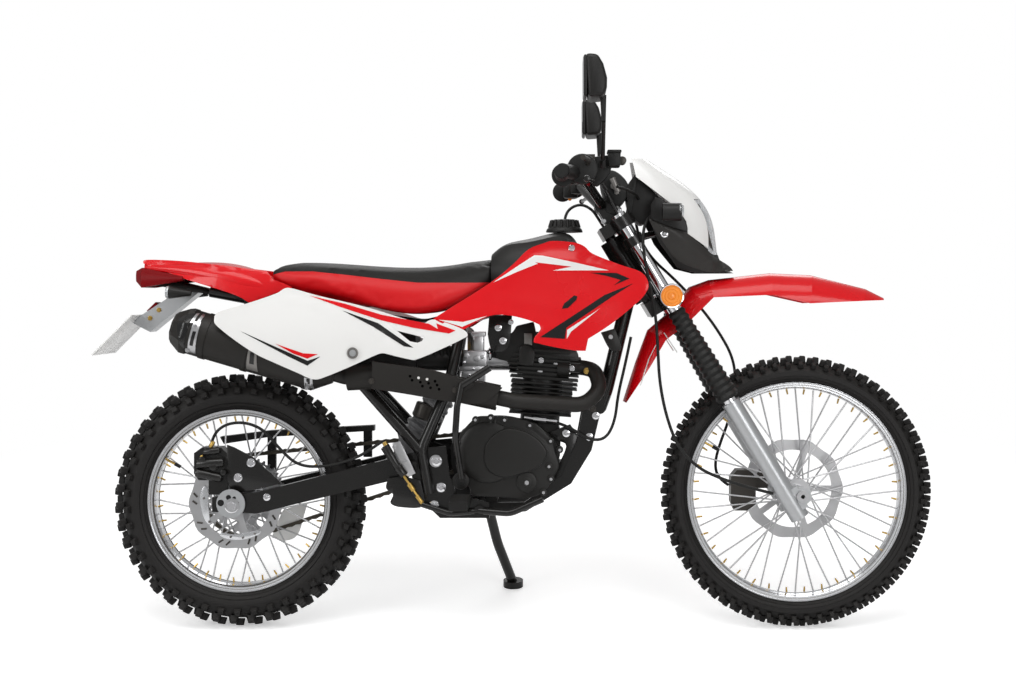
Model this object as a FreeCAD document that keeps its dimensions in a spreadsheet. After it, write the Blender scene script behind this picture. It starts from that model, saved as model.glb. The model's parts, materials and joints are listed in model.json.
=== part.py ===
import FreeCAD, Part
import math
import os

# Dual sport motorcycle, millimetres. Everything is laid out on the upright machine first:
# X runs forward from the rear axle, Y to the rider's left, Z up from the ground. At the end
# the whole machine leans onto its side stand and its box is centred over the origin.

Vector = FreeCAD.Vector

SIZES = {
    # wheels
    "wheelbase": 1412, "rear_axle_rise": 317, "front_axle_rise": 339,
    "rear_tyre_radius": 316, "rear_tyre_width": 106, "rear_rim_radius": 231, "rear_rim_width": 66,
    "front_tyre_radius": 342, "front_tyre_width": 82, "front_rim_radius": 278, "front_rim_width": 50,
    "rim_depth": 17, "rim_wall": 3.5, "bead_fit": 0.3, "tread_round": 26,
    "rear_lug_count": 34, "rear_lug_depth": 14, "rear_lug_long": 25,
    "front_lug_count": 40, "front_lug_depth": 11, "front_lug_long": 20,
    "rear_hub_radius": 32, "rear_flange_radius": 48, "rear_hub_width": 139,
    "front_hub_radius": 24, "front_flange_radius": 34, "front_hub_width": 96,
    "flange_wall": 6, "flange_share": 0.46, "spoke_thick": 4, "spoke_count": 36,
    "rear_axle_thick": 17, "front_axle_thick": 15, "axle_fit": 0.3, "axle_bore": 5,
    "rear_disc_radius": 118, "front_disc_radius": 130, "disc_wall": 4, "disc_web": 30,
    "disc_lobes": 10, "disc_lobe_depth": 5, "disc_gap": 4,
    "sprocket_radius": 101, "sprocket_teeth": 40, "sprocket_wall": 7,
    "sprocket_window": 13, "sprocket_windows": 6,
    "tooth_depth": 7, "chain_links": 72, "link_waist": 2.5, "chain_width": 16, "chain_height": 15,
    "drive_sprocket_radius": 34, "drive_shaft_x": 566, "drive_shaft_z": 436,
    # steering
    "rake": 31, "fork_offset": 73, "leg_offset": 42, "leg_spread": 97,
    "stanchion_radius": 18, "slider_radius": 24, "slider_top": 290, "slider_foot": 45,
    "gaiter_low": 300, "gaiter_top": 556, "gaiter_radius_low": 31, "gaiter_radius_top": 23,
    "gaiter_ridges": 15, "gaiter_ridge_depth": 4,
    "lower_clamp_rise": 570, "clamp_thick": 38, "upper_clamp_rise": 796, "clamp_wall": 11,
    "head_tube_radius": 31, "stem_radius": 14, "head_gap": 6, "down_tube_rise": 680, "spine_rise": 701,
    "bar_radius": 11, "bar_half_width": 400, "bar_rise": 977, "bar_back": 34, "bar_seat": 874,
    "bar_seat_front": 22, "bar_seat_half": 62, "bar_bend_half": 205, "bar_bend_rise": 960,
    "bar_bend_front": 10, "grip_radius": 17, "grip_length": 122, "bar_clamp_radius": 19,
    "front_fender_wall": 4, "front_fender_half": 66,
    "mirror_spread": 368, "mirror_rise": 1330, "mirror_x": 897, "mirror_tall": 108,
    "mirror_wide": 150, "mirror_thick": 34, "stem_thick": 9,
    # engine
    "case_x": 690, "case_z": 424, "case_radius": 118, "case_half": 118, "cover_wall": 34,
    "cylinder_x": 768, "cylinder_base": 515, "cylinder_top": 628, "fin_half_long": 78,
    "fin_half_wide": 72, "fin_wall": 4, "fin_pitch": 11, "barrel_radius": 50,
    "head_top": 700, "head_cover_top": 742, "cylinder_tilt": 4,
    "outlet_side": 38, "outlet_drop": 45, "inlet_radius": 22, "port_wall": 6,
    "header_radius": 19, "muffler_radius": 56, "muffler_cap": 34, "muffler_tip_share": 0.56, "band_wall": 2,
    "band_wide": 14, "shield_wall": 3, "carb_x": 596, "carb_z": 672,
    # frame
    "pivot_bolt": 9, "pivot_x": 505, "pivot_z": 427, "frame_tube": 14, "down_tube": 18, "spine_tube": 24,
    "plate_wall": 8, "frame_half": 117, "cradle_half": 70, "peg_reach": 262, "peg_root": 116,
    "adjuster_radius": 31, "adjuster_wall": 5,
    "swingarm_half": 102, "swingarm_tall": 56, "swingarm_thick": 22, "pivot_gap": 2, "stand_lean": 9,
    "stand_pivot_x": 616, "stand_pivot_y": 129.5, "stand_pivot_z": 300, "stand_tube": 13,
    "stand_foot_x": 684, "stand_foot_y": 286, "stand_foot_thick": 9, "stand_foot_half": 27,
    # bodywork
    "panel_wall": 3.5, "seat_height": 880, "fit": 0.3, "overrun": 20,
    "hose_thick": 8, "cable_thick": 7, "slack_bend": 1000,
    "shroud_length": 522, "shroud_height": 266, "shroud_x": 501, "shroud_z": 703,
    "side_panel_length": 612, "side_panel_height": 218, "side_panel_x": -29, "side_panel_z": 633,
    "tail_length": 377, "tail_height": 107, "tail_x": -232, "tail_z": 819,
    "mask_length": 217, "mask_height": 285, "mask_x": 997, "mask_z": 893,
    "rear_lamp_spread": 92, "stalk_radius": 6, "plate_wide": 200, "plate_tall": 140, "sheet_wall": 2,
}

# Outlines in shares of their length and height, from the rear low corner of their box.
SHROUD_SHARES = [(0, 0.29), (0.135, 0.19), (0.19, 0.25), (0.27, 0.31), (0.36, 0.31), (0.44, 0.27),
                 (0.5, 0.22), (0.47, 0.1), (0.57, 0.03), (0.66, 0), (0.71, 0), (0.72, 0.1),
                 (0.82, 0.23), (0.945, 0.43), (1, 0.57), (0.967, 0.7), (0.86, 0.79), (0.74, 0.88),
                 (0.7, 0.96), (0.56, 1), (0.45, 0.92), (0.37, 0.77), (0.27, 0.62), (0.15, 0.47)]
SIDE_PANEL_SHARES = [(0, 0.67), (0.05, 0.77), (0.15, 0.85), (0.28, 1), (0.41, 0.93), (0.6, 0.79),
                     (0.8, 0.64), (0.87, 0.66), (0.985, 0.54), (1, 0.49), (0.81, 0.22),
                     (0.67, 0.28), (0.44, 0.02), (0.4, 0), (0.34, 0.06), (0.17, 0.27), (0, 0.61)]
TAIL_SHARES = [(0, 0.95), (0.02, 1), (0.24, 0.96), (0.47, 0.88), (0.84, 0.71), (0.88, 0.53),
               (1, 0.33), (0.9, 0.2), (0.735, 0), (0.67, 0.15), (0.55, 0.29), (0.29, 0.56), (0.06, 0.81)]
MASK_SHARES = [(0, 0.93), (0.03, 0.99), (0.2, 0.98), (0.31, 0.93), (0.72, 0.7), (0.78, 0.63),
               (0.95, 0.25), (1, 0), (0.75, 0.01), (0.4, 0.1), (0.22, 0.3), (0.2, 0.62), (0, 0.83)]
FRONT_FENDER_LINE = [(972, 568, 70, 36, 8), (1003, 665, 72, 54, 36), (1034, 748, 62, 60, 50),
                     (1095, 800, 48, 60, 50), (1140, 858, 38, 60, 60), (1190, 876, 10, 62, 45),
                     (1345, 893, 0, 66, 55), (1450, 888, -8, 64, 72), (1590, 853, -20, 46, 32),
                     (1636, 830, -28, 20, 6)]
MASK_SLICES = [(893, 1100, 1254, 58), (950, 1060, 1212, 92), (1040, 1030, 1194, 106),
               (1100, 1010, 1150, 96), (1150, 998, 1082, 80), (1180, 992, 1036, 62)]
MASK_POINTS = [(990, 1190), (1060, 1190), (1180, 1100), (1230, 950), (1193, 948), (1130, 990), (1126, 1021),
               (1112, 1042), (1088, 1065), (1007, 1128), (990, 1140)]
LENS_POINTS = [(1137, 1078), (1200, 1082), (1240, 950), (1200, 938), (1160, 960)]
BEAK_POINTS = [(1033, 1026), (1042, 1070), (1059, 1081), (1084, 1064), (1110, 1040), (1124, 1020), (1128, 988),
               (1192, 946), (1240, 930), (1270, 880), (1184, 885), (1107, 905), (1057, 970)]
CRADLE_SHARES = [(0, 0), (0.2, -0.01), (0.43, 0.02), (0.76, 0.26), (0.91, 0.55), (1, 1), (0.86, 1),
                 (0.8, 0.62), (0.69, 0.33), (0.42, 0.1), (0, 0.09)]

doc = FreeCAD.newDocument("motorcycle")
sheet = doc.addObject("Spreadsheet::Sheet", "sizes")
for row, (alias, value) in enumerate(SIZES.items(), start=1):
    sheet.set(f"A{row}", alias)
    sheet.set(f"B{row}", str(value))
    sheet.setAlias(f"B{row}", alias)
doc.recompute()


class Sizes:
    """The sheet's cells, read by their names."""

    def __getattr__(self, alias):
        return float(sheet.get(alias))


at = Sizes()
pieces = {}


def named(kind, name):
    return doc.addObject(kind, name)


def bind(feature, **expressions):
    for prop, expression in expressions.items():
        feature.setExpression(prop, expression)
    return feature


def turned_to(direction):
    return FreeCAD.Rotation(Vector(0, 0, 1), Vector(*direction))


def cylinder(name, radius, length, place, direction=(0, 0, 1)):
    """A round bar from place along direction; radius and length are sheet expressions."""
    bar = bind(named("Part::Cylinder", name), Radius=radius, Height=length)
    bar.Placement = FreeCAD.Placement(Vector(*place), turned_to(direction))
    return bar


def solid(name, shape):
    feature = named("Part::Feature", name)
    feature.Shape = shape
    return feature


def fused(label, parts):
    joined = named("Part::MultiFuse", label)
    joined.Shapes = parts
    joined.Refine = False
    return finished(joined, label)


def grouped(label, parts):
    group = named("Part::Compound", label)
    group.Links = parts
    return finished(group, label)


def cut(name, base, tool):
    carved = named("Part::Cut", name)
    carved.Base = base
    carved.Tool = tool
    return carved


def common(name, parts):
    shared = named("Part::MultiCommon", name)
    shared.Shapes = parts
    return shared


def finished(feature, label):
    feature.Label = label
    pieces[label] = feature
    return feature


def plane_of(body, role):
    return next(f for f in body.Origin.OriginFeatures if f.Role == role)


def sketch_on(body, name, points, role="XZ_Plane"):
    """A closed outline of straight edges on one of the body's own planes."""
    outline = body.newObject("Sketcher::SketchObject", name)
    outline.AttachmentSupport = [(plane_of(body, role), "")]
    outline.MapMode = "FlatFace"
    ends = [Vector(u, v, 0) for u, v in points]
    for start, end in zip(ends, ends[1:] + ends[:1]):
        outline.addGeometry(Part.LineSegment(start, end), False)
    return outline


def plate(name, points, thickness, outer):
    """A flat plate parallel to the mid-plane: its outline in X and Z, its +Y face at outer."""
    body = named("PartDesign::Body", name)
    sketch = sketch_on(body, name + "_outline", points)
    pad = body.newObject("PartDesign::Pad", name + "_pad")
    pad.Profile = sketch
    bind(pad, Length=thickness)
    body.Placement = FreeCAD.Placement(Vector(0, outer, 0), FreeCAD.Rotation())
    return body


def revolved(name, points, place):
    """A ring about a sideways axle through place: points are (radius, sideways)."""
    body = named("PartDesign::Body", name)
    sketch = sketch_on(body, name + "_section", points, "XY_Plane")
    turn = body.newObject("PartDesign::Revolution", name + "_turn")
    turn.Profile = sketch
    turn.ReferenceAxis = (sketch, ["V_Axis"])
    turn.Angle = 360
    body.Placement = FreeCAD.Placement(Vector(*place), FreeCAD.Rotation())
    return body


def outline(shares, x, z, length, height):
    return [(x + u * length, z + v * height) for u, v in shares]


def mirrored(name, source):
    """The same piece on the other side of the mid-plane."""
    twin = named("Part::Mirroring", name)
    twin.Source = source
    twin.Normal = Vector(0, 1, 0)
    return twin


def path_wire(points, bend):
    """Straight runs joined by tangent arcs of the bend radius."""
    points = [Vector(*p) for p in points]
    edges = []
    start = points[0]
    for before, corner, after in zip(points, points[1:], points[2:]):
        back = (before - corner).normalize()
        ahead = (after - corner).normalize()
        half = back.getAngle(ahead) / 2
        if math.pi / 2 - half < math.radians(1):
            continue
        reach = min(bend / math.tan(half), (before - corner).Length * 0.45, (after - corner).Length * 0.45)
        radius = reach * math.tan(half)
        into = corner + back * reach
        out = corner + ahead * reach
        inward = (back + ahead).normalize()
        middle = corner + inward * (radius / math.sin(half) - radius)
        edges.append(Part.LineSegment(start, into).toShape())
        edges.append(Part.Arc(into, middle, out).toShape())
        start = out
    edges.append(Part.LineSegment(start, points[-1]).toShape())
    return Part.Wire(edges)


def tube(name, points, radius, bend):
    """A round tube along points (x, y, z): straight bars joined by ring bends."""
    runs = []
    for edge in path_wire(points, bend).Edges:
        start = edge.valueAt(edge.FirstParameter)
        along = edge.tangentAt(edge.FirstParameter)
        if isinstance(edge.Curve, Part.Line):
            runs.append(Part.makeCylinder(radius, edge.Length, start, along))
            continue
        centre, axis = edge.Curve.Center, edge.Curve.Axis
        if axis.cross(start - centre).dot(along) < 0:
            axis = -axis
        ring = Part.Face(Part.Wire(Part.makeCircle(radius, start, along)))
        runs.append(ring.revolve(centre, axis, math.degrees(edge.Length / edge.Curve.Radius)))
        if edge.Curve.Radius < radius * 1.1:
            print("tight bend", name, round(edge.Curve.Radius, 1))
    if len(runs) == 1:
        return solid(name, runs[0])
    return solid(name, runs[0].multiFuse(runs[1:]).removeSplitter())


def both_sides(points):
    return [points, [(x, -y, z) for x, y, z in points]]


def side_tubes(name, points, radius, bend):
    return [tube(f"{name}_{side}", run, radius, bend)
            for side, run in zip(("left", "right"), both_sides(points))]


def section(x, low, top, half_low, half_mid, half_top, crown):
    """One cross-section of the bodywork: a floor, two bowed walls and a crowned top."""
    middle = (low + top) / 2
    corners = [Vector(x, -half_low, low), Vector(x, half_low, low),
               Vector(x, half_top, top), Vector(x, -half_top, top)]
    return Part.Wire([
        Part.LineSegment(corners[0], corners[1]).toShape(),
        Part.Arc(corners[1], Vector(x, half_mid, middle), corners[2]).toShape(),
        Part.Arc(corners[2], Vector(x, 0, top + crown), corners[3]).toShape(),
        Part.Arc(corners[3], Vector(x, -half_mid, middle), corners[0]).toShape()])


def form(name, stations):
    """A long form lofted through cross-sections along the machine."""
    return solid(name, Part.makeLoft([section(*station) for station in stations], True, False))


def prism(name, points, half):
    """An outline in X and Z run through the machine, half to each side."""
    body = named("PartDesign::Body", name)
    sketch = sketch_on(body, name + "_outline", points)
    pad = body.newObject("PartDesign::Pad", name + "_pad")
    pad.Profile = sketch
    pad.Midplane = True
    pad.Length = 2 * half
    return body


def on_fork(front, side, rise):
    """A point of the fork: front of the steering axis, to the left, and up along the axis."""
    lean = math.radians(at.rake)
    foot_x = at.wheelbase - at.fork_offset * math.cos(lean)
    foot_z = at.front_axle_rise - at.fork_offset * math.sin(lean)
    return (foot_x + front * math.cos(lean) - rise * math.sin(lean), side,
            foot_z + front * math.sin(lean) + rise * math.cos(lean))


up_fork = (-math.sin(math.radians(at.rake)), 0, math.cos(math.radians(at.rake)))
front_of_fork = (math.cos(math.radians(at.rake)), 0, math.sin(math.radians(at.rake)))
sideways = (0, 1, 0)
stand_axis = (0.161, 0.82, 0.549)
rear_axle = (0, 0, at.rear_axle_rise)
front_axle = (at.wheelbase, 0, at.front_axle_rise)


# Tread rows: place across, length and width, each in shares of half the tyre or of a lug; then its
# tilt, how far its top stands below the tips, its turn in shares of a step, and the steps from one to the next.
REAR_TREAD_SHARES = [(0, 1, 0.3, 0, 0, 0, 1), (0.66, 0.95, 0.2, 30, 0.42, 0.5, 1),
                     (-0.66, 0.95, 0.2, -30, 0.42, 0.5, 1)]
FRONT_TREAD_SHARES = [(0, 1, 0.3, 0, 0, 0, 1), (0.68, 1.1, 0.18, 34, 0.6, 0.5, 2), (-0.68, 1.1, 0.18, -34, 0.6, 1.5, 2)]


def tread(label, radius, half, rows):
    """Rows of square lugs round a tyre, each sunk a little into the carcass."""
    count = int(getattr(at, label + "_lug_count"))
    depth = getattr(at, label + "_lug_depth")
    long = getattr(at, label + "_lug_long")
    lugs = []
    for across, length, width, tilt, drop, shift, step in rows:
        tall = depth * 1.6
        lug = Part.makeBox(long * length, 2 * half * width, tall,
                           Vector(-long * length / 2, -half * width, -tall))
        lug = lug.rotated(Vector(), Vector(1, 0, 0), -tilt)
        lug.translate(Vector(0, across * half, radius - drop * depth))
        for index in range(0, count, step):
            turn = 360 * (index + shift) / count
            lugs.append(lug.rotated(Vector(), Vector(*sideways), turn))
    return lugs


def faceted_ring(points, count):
    """A ring of flat facets about a sideways axle: points are (radius, sideways) at its facets' middles."""
    faces = []
    spread = 1 / math.cos(math.pi / count)
    for index in range(count):
        turns = [2 * math.pi * (index + side) / count for side in (-0.5, 0.5)]
        rows = [[Vector(radius * spread * math.sin(turn), across, radius * spread * math.cos(turn))
                 for radius, across in points] for turn in turns]
        for one, two in zip(range(len(points)), list(range(1, len(points))) + [0]):
            corners = [rows[0][one], rows[0][two], rows[1][two], rows[1][one]]
            faces.append(Part.Face(Part.makePolygon(corners + corners[:1])))
    return Part.Solid(Part.Shell(faces))


def tyre(label, radius, width, rim_radius, rim_width, place):
    """A knobbly tyre: it fills the rim between its flanges, with rows of lugs out to their tips."""
    seat = rim_radius - at.rim_depth / 2 + at.bead_fit
    bead = rim_width / 2 - at.rim_wall - at.bead_fit
    wall = width / 2
    wheel = label.split("_")[0]
    base = radius - getattr(at, wheel + "_lug_depth")
    shoulder = base - at.tread_round
    flare = rim_radius + at.rim_depth
    lip = rim_radius + at.bead_fit
    points = [(seat, -bead), (lip, -bead), (flare, -wall * 0.92), (shoulder, -wall * 0.95), (base, -wall * 0.4),
              (base, wall * 0.4), (shoulder, wall * 0.95), (flare, wall * 0.92), (lip, bead), (seat, bead)]
    ring = faceted_ring(points, int(getattr(at, wheel + "_lug_count")))
    if ring.Volume < 0:
        ring.reverse()
    carcass = solid(label + "_carcass", ring)
    lugs = tread(wheel, radius, wall, REAR_TREAD_SHARES if wheel == "rear" else FRONT_TREAD_SHARES)
    lugs = solid(label + "_lugs", Part.makeCompound(lugs))
    for part in (carcass, lugs):
        part.Placement = FreeCAD.Placement(Vector(*place), FreeCAD.Rotation())
    return fused(label, [carcass, lugs])


def rim(label, rim_radius, rim_width, place):
    """A drop-centre rim with its two flanges."""
    half = rim_width / 2
    well = rim_radius - at.rim_depth
    seat = rim_radius - at.rim_depth / 2
    wall = at.rim_wall
    points = [(well, -half * 0.4), (seat - wall, -half), (rim_radius, -half), (rim_radius, -half + wall),
              (seat, -half + wall), (seat, -half * 0.55), (well + wall, -half * 0.3),
              (well + wall, half * 0.3), (seat, half * 0.55), (seat, half - wall),
              (rim_radius, half - wall), (rim_radius, half), (seat - wall, half), (well, half * 0.4)]
    return finished(revolved(label, points, place), label)


def hub(label, wheel, rim_radius, axle_thick, place):
    """The hub shell and its laced spokes, one solid."""
    barrel = getattr(at, wheel + "_hub_radius")
    flange = getattr(at, wheel + "_flange_radius")
    half = getattr(at, wheel + "_hub_width") / 2
    bore = axle_thick / 2 + at.axle_fit
    edge = half * at.flange_share
    wall = at.flange_wall
    shell = revolved(label + "_shell", [
        (bore, -half), (barrel * 0.8, -half), (barrel * 0.8, -edge - wall), (flange, -edge - wall),
        (flange, -edge), (barrel, -edge + wall), (barrel, edge - wall), (flange, edge),
        (flange, edge + wall), (barrel * 0.8, edge + wall), (barrel * 0.8, half), (bore, half)], place)
    spokes = []
    count = int(at.spoke_count)
    reach = rim_radius - at.rim_depth - at.fit * 3
    hole = flange - wall
    lace = math.radians(62)
    for index in range(count):
        turn = 2 * math.pi * index / count
        sense = 1 if (index // 2) % 2 else -1
        side = 1 if index % 2 else -1
        start = Vector(hole * math.cos(turn + sense * lace), side * (edge + wall / 2),
                       hole * math.sin(turn + sense * lace))
        end = Vector(reach * math.cos(turn), side * at.rim_wall, reach * math.sin(turn))
        away = end - start
        spoke = bind(named("Part::Cylinder", f"{label}_spoke_{index}"), Radius="sizes.spoke_thick / 2")
        spoke.Height = away.Length - at.fit
        spoke.Placement = FreeCAD.Placement(start + Vector(*place), turned_to(away))
        spokes.append(spoke)
    return fused(label, [shell] + spokes)


def disc(label, radius, side, place, hub_radius):
    """A waved brake disc on its carrier arms."""
    count = int(at.disc_lobes)
    rim_points = []
    steps = count * 6
    for step in range(steps):
        turn = 2 * math.pi * step / steps
        reach = radius - at.disc_lobe_depth * (0.5 - 0.5 * math.cos(count * turn))
        rim_points.append((reach * math.cos(turn), reach * math.sin(turn)))
    ring = plate(label + "_ring", rim_points, "sizes.disc_wall", 0)
    hole = cylinder(label + "_window", f"sizes.{label}_radius - sizes.disc_web", "sizes.overrun * 2",
                    (0, -at.overrun, 0), sideways)
    band = cut(label + "_band", ring, hole)
    inner = radius - at.disc_web
    arms = []
    for index in range(count // 2):
        turn = 4 * math.pi * index / count
        arm = Part.makeBox(inner - hub_radius + at.disc_lobe_depth, at.disc_wall, at.disc_web / 2,
                           Vector(hub_radius, -at.disc_wall, -at.disc_web / 4))
        arms.append(arm.rotated(Vector(), Vector(*sideways), math.degrees(turn)))
    arms = solid(label + "_arms", Part.makeCompound(arms))
    carrier = Part.makeCylinder(hub_radius + at.flange_wall, at.disc_wall,
                                Vector(0, -at.disc_wall, 0), Vector(*sideways))
    carrier = carrier.cut(Part.makeCylinder(hub_radius, at.disc_wall,
                                            Vector(0, -at.disc_wall, 0), Vector(*sideways)))
    carrier = solid(label + "_carrier", carrier)
    result = fused(label, [band, arms, carrier])
    result.Placement = FreeCAD.Placement(Vector(place[0], side, place[2]), FreeCAD.Rotation())
    return result


def wheels():
    tyre("rear_tyre", at.rear_tyre_radius, at.rear_tyre_width, at.rear_rim_radius, at.rear_rim_width,
         rear_axle)
    rim("rear_rim", at.rear_rim_radius, at.rear_rim_width, rear_axle)
    hub("rear_hub", "rear", at.rear_rim_radius, at.rear_axle_thick, rear_axle)
    tyre("front_tyre", at.front_tyre_radius, at.front_tyre_width, at.front_rim_radius,
         at.front_rim_width, front_axle)
    rim("front_rim", at.front_rim_radius, at.front_rim_width, front_axle)
    hub("front_hub", "front", at.front_rim_radius, at.front_axle_thick, front_axle)
    rear_hub = at.rear_hub_radius * 0.8 + at.fit
    front_hub = at.front_hub_radius * 0.8 + at.fit
    disc("rear_disc", at.rear_disc_radius, -at.rear_hub_width / 2 + at.disc_wall, rear_axle, rear_hub)
    disc("front_disc", at.front_disc_radius, at.front_hub_width / 2, front_axle, front_hub)
    sprocket()


def toothed(count, radius, depth):
    points = []
    for index in range(count):
        for share, reach in ((-0.3, radius - depth), (-0.12, radius), (0.12, radius), (0.3, radius - depth)):
            turn = 2 * math.pi * (index + share) / count
            points.append((reach * math.cos(turn), reach * math.sin(turn)))
    return points


def sprocket():
    """The rear sprocket on the hub's left end, with windows between its arms."""
    blank = plate("sprocket_blank", toothed(int(at.sprocket_teeth), at.sprocket_radius, at.tooth_depth),
                  "sizes.sprocket_wall", 0)
    bore = cylinder("sprocket_bore", "sizes.rear_hub_radius * 0.8 + sizes.fit", "sizes.overrun * 2",
                    (0, -at.overrun, 0), sideways)
    ring = (at.sprocket_radius - at.tooth_depth + at.rear_flange_radius) / 2 + at.flange_wall
    windows = [bore]
    for index in range(int(at.sprocket_windows)):
        turn = 2 * math.pi * index / at.sprocket_windows
        place = (ring * math.cos(turn), -at.overrun, ring * math.sin(turn))
        windows.append(cylinder(f"sprocket_window_{index}", "sizes.sprocket_window", "sizes.overrun * 2", place, sideways))
    holes = named("Part::Compound", "sprocket_holes")
    holes.Links = windows
    wheel = cut("rear_sprocket", blank, holes)
    finished(wheel, "rear_sprocket")
    wheel.Placement = FreeCAD.Placement(Vector(0, at.rear_hub_width / 2, at.rear_axle_rise),
                                        FreeCAD.Rotation())


def drive_chain():
    """The chain round both sprockets: a loop whose two edges swell at every pin and narrow between."""
    side = at.rear_hub_width / 2 - at.sprocket_wall / 2
    big = at.sprocket_radius - at.tooth_depth / 2
    small = at.drive_sprocket_radius
    span = math.hypot(at.drive_shaft_x, at.drive_shaft_z - at.rear_axle_rise)
    slope = math.atan2(at.drive_shaft_z - at.rear_axle_rise, at.drive_shaft_x)
    tilt = math.acos((big - small) / span)
    run = math.sqrt(span ** 2 - (big - small) ** 2)
    front_arc, rear_arc = small * 2 * tilt, big * (2 * math.pi - 2 * tilt)

    def pin(distance):
        """A place along the loop and the direction out of it."""
        if distance < run:
            turn = slope + tilt
            share = distance / run
            x = at.drive_shaft_x * share + (big + (small - big) * share) * math.cos(turn)
            z = (at.rear_axle_rise + (at.drive_shaft_z - at.rear_axle_rise) * share
                 + (big + (small - big) * share) * math.sin(turn))
            return x, z, turn
        distance -= run
        if distance < front_arc:
            turn = slope + tilt - distance / small
            return (at.drive_shaft_x + small * math.cos(turn), at.drive_shaft_z + small * math.sin(turn), turn)
        distance -= front_arc
        if distance < run:
            turn = slope - tilt
            share = 1 - distance / run
            x = at.drive_shaft_x * share + (big + (small - big) * share) * math.cos(turn)
            z = (at.rear_axle_rise + (at.drive_shaft_z - at.rear_axle_rise) * share
                 + (big + (small - big) * share) * math.sin(turn))
            return x, z, turn
        distance -= run
        turn = slope - tilt - distance / big
        return big * math.cos(turn), at.rear_axle_rise + big * math.sin(turn), turn
    whole = 2 * run + front_arc + rear_arc
    steps = 2 * int(at.chain_links)
    outer = []
    for step in range(steps):
        x, z, turn = pin(whole * step / steps)
        high = at.chain_height / 2 + at.tooth_depth - at.link_waist * (step % 2)
        outer.append(Vector(x + high * math.cos(turn), 0, z + high * math.sin(turn)))

    def spot(x, z, radius, turn):
        return Vector(x + radius * math.cos(turn), 0, z + radius * math.sin(turn))
    extra = at.tooth_depth / 2 + at.fit
    top, low = slope + tilt, slope - tilt
    rear = (0, at.rear_axle_rise, big + extra)
    front = (at.drive_shaft_x, at.drive_shaft_z, small + extra)
    inner = Part.Wire([
        Part.LineSegment(spot(*rear, top), spot(*front, top)).toShape(),
        Part.Arc(spot(*front, top), spot(*front, slope), spot(*front, low)).toShape(),
        Part.LineSegment(spot(*front, low), spot(*rear, low)).toShape(),
        Part.Arc(spot(*rear, low), spot(*rear, slope + math.pi), spot(*rear, top)).toShape()])
    chain = Part.Face(Part.makePolygon(outer + outer[:1])).extrude(Vector(0, at.chain_width, 0))
    chain = chain.cut(Part.Face(inner).extrude(Vector(0, at.chain_width, 0)))
    chain.translate(Vector(0, side - at.chain_width / 2, 0))
    finished(solid("chain_loop", chain), "drive_chain")


def fork_solid(name, shape, rise):
    """A shape built upright about the steering axis, laid back at the rake."""
    lean = FreeCAD.Rotation(Vector(0, 1, 0), -at.rake)
    foot = Vector(*on_fork(0, 0, rise))
    return solid(name, shape.transformed(FreeCAD.Placement(foot, lean).toMatrix()))


def gaiter(front, side):
    """A ribbed boot about one leg: a waved profile turned about the leg."""
    count = int(at.gaiter_ridges)
    points = [Vector(at.stanchion_radius + at.fit, 0, at.gaiter_low)]
    step = (at.gaiter_top - at.gaiter_low) / count
    for index in range(count):
        share = index / count
        ridge = at.gaiter_radius_low + share * (at.gaiter_radius_top - at.gaiter_radius_low)
        base = at.gaiter_low + index * step
        points.append(Vector(ridge - at.gaiter_ridge_depth, 0, base))
        points.append(Vector(ridge, 0, base + step / 2))
    points.append(Vector(at.gaiter_radius_top - at.gaiter_ridge_depth, 0, at.gaiter_top))
    points.append(Vector(at.stanchion_radius + at.fit, 0, at.gaiter_top))
    boot = Part.Face(Part.makePolygon(points + points[:1])).revolve(Vector(), Vector(0, 0, 1), 360)
    boot.translate(Vector(front, side, 0))
    return boot


def bored(label, parts, x, z):
    """A hollow wheel axle, open from end to end."""
    joined = named("Part::MultiFuse", label + "_solid")
    joined.Shapes = parts
    bore = cylinder(label + "_bore", "sizes.axle_bore", "4 * sizes.frame_half", (x, -2 * at.frame_half, z), sideways)
    return finished(cut(label, joined, bore), label)


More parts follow.
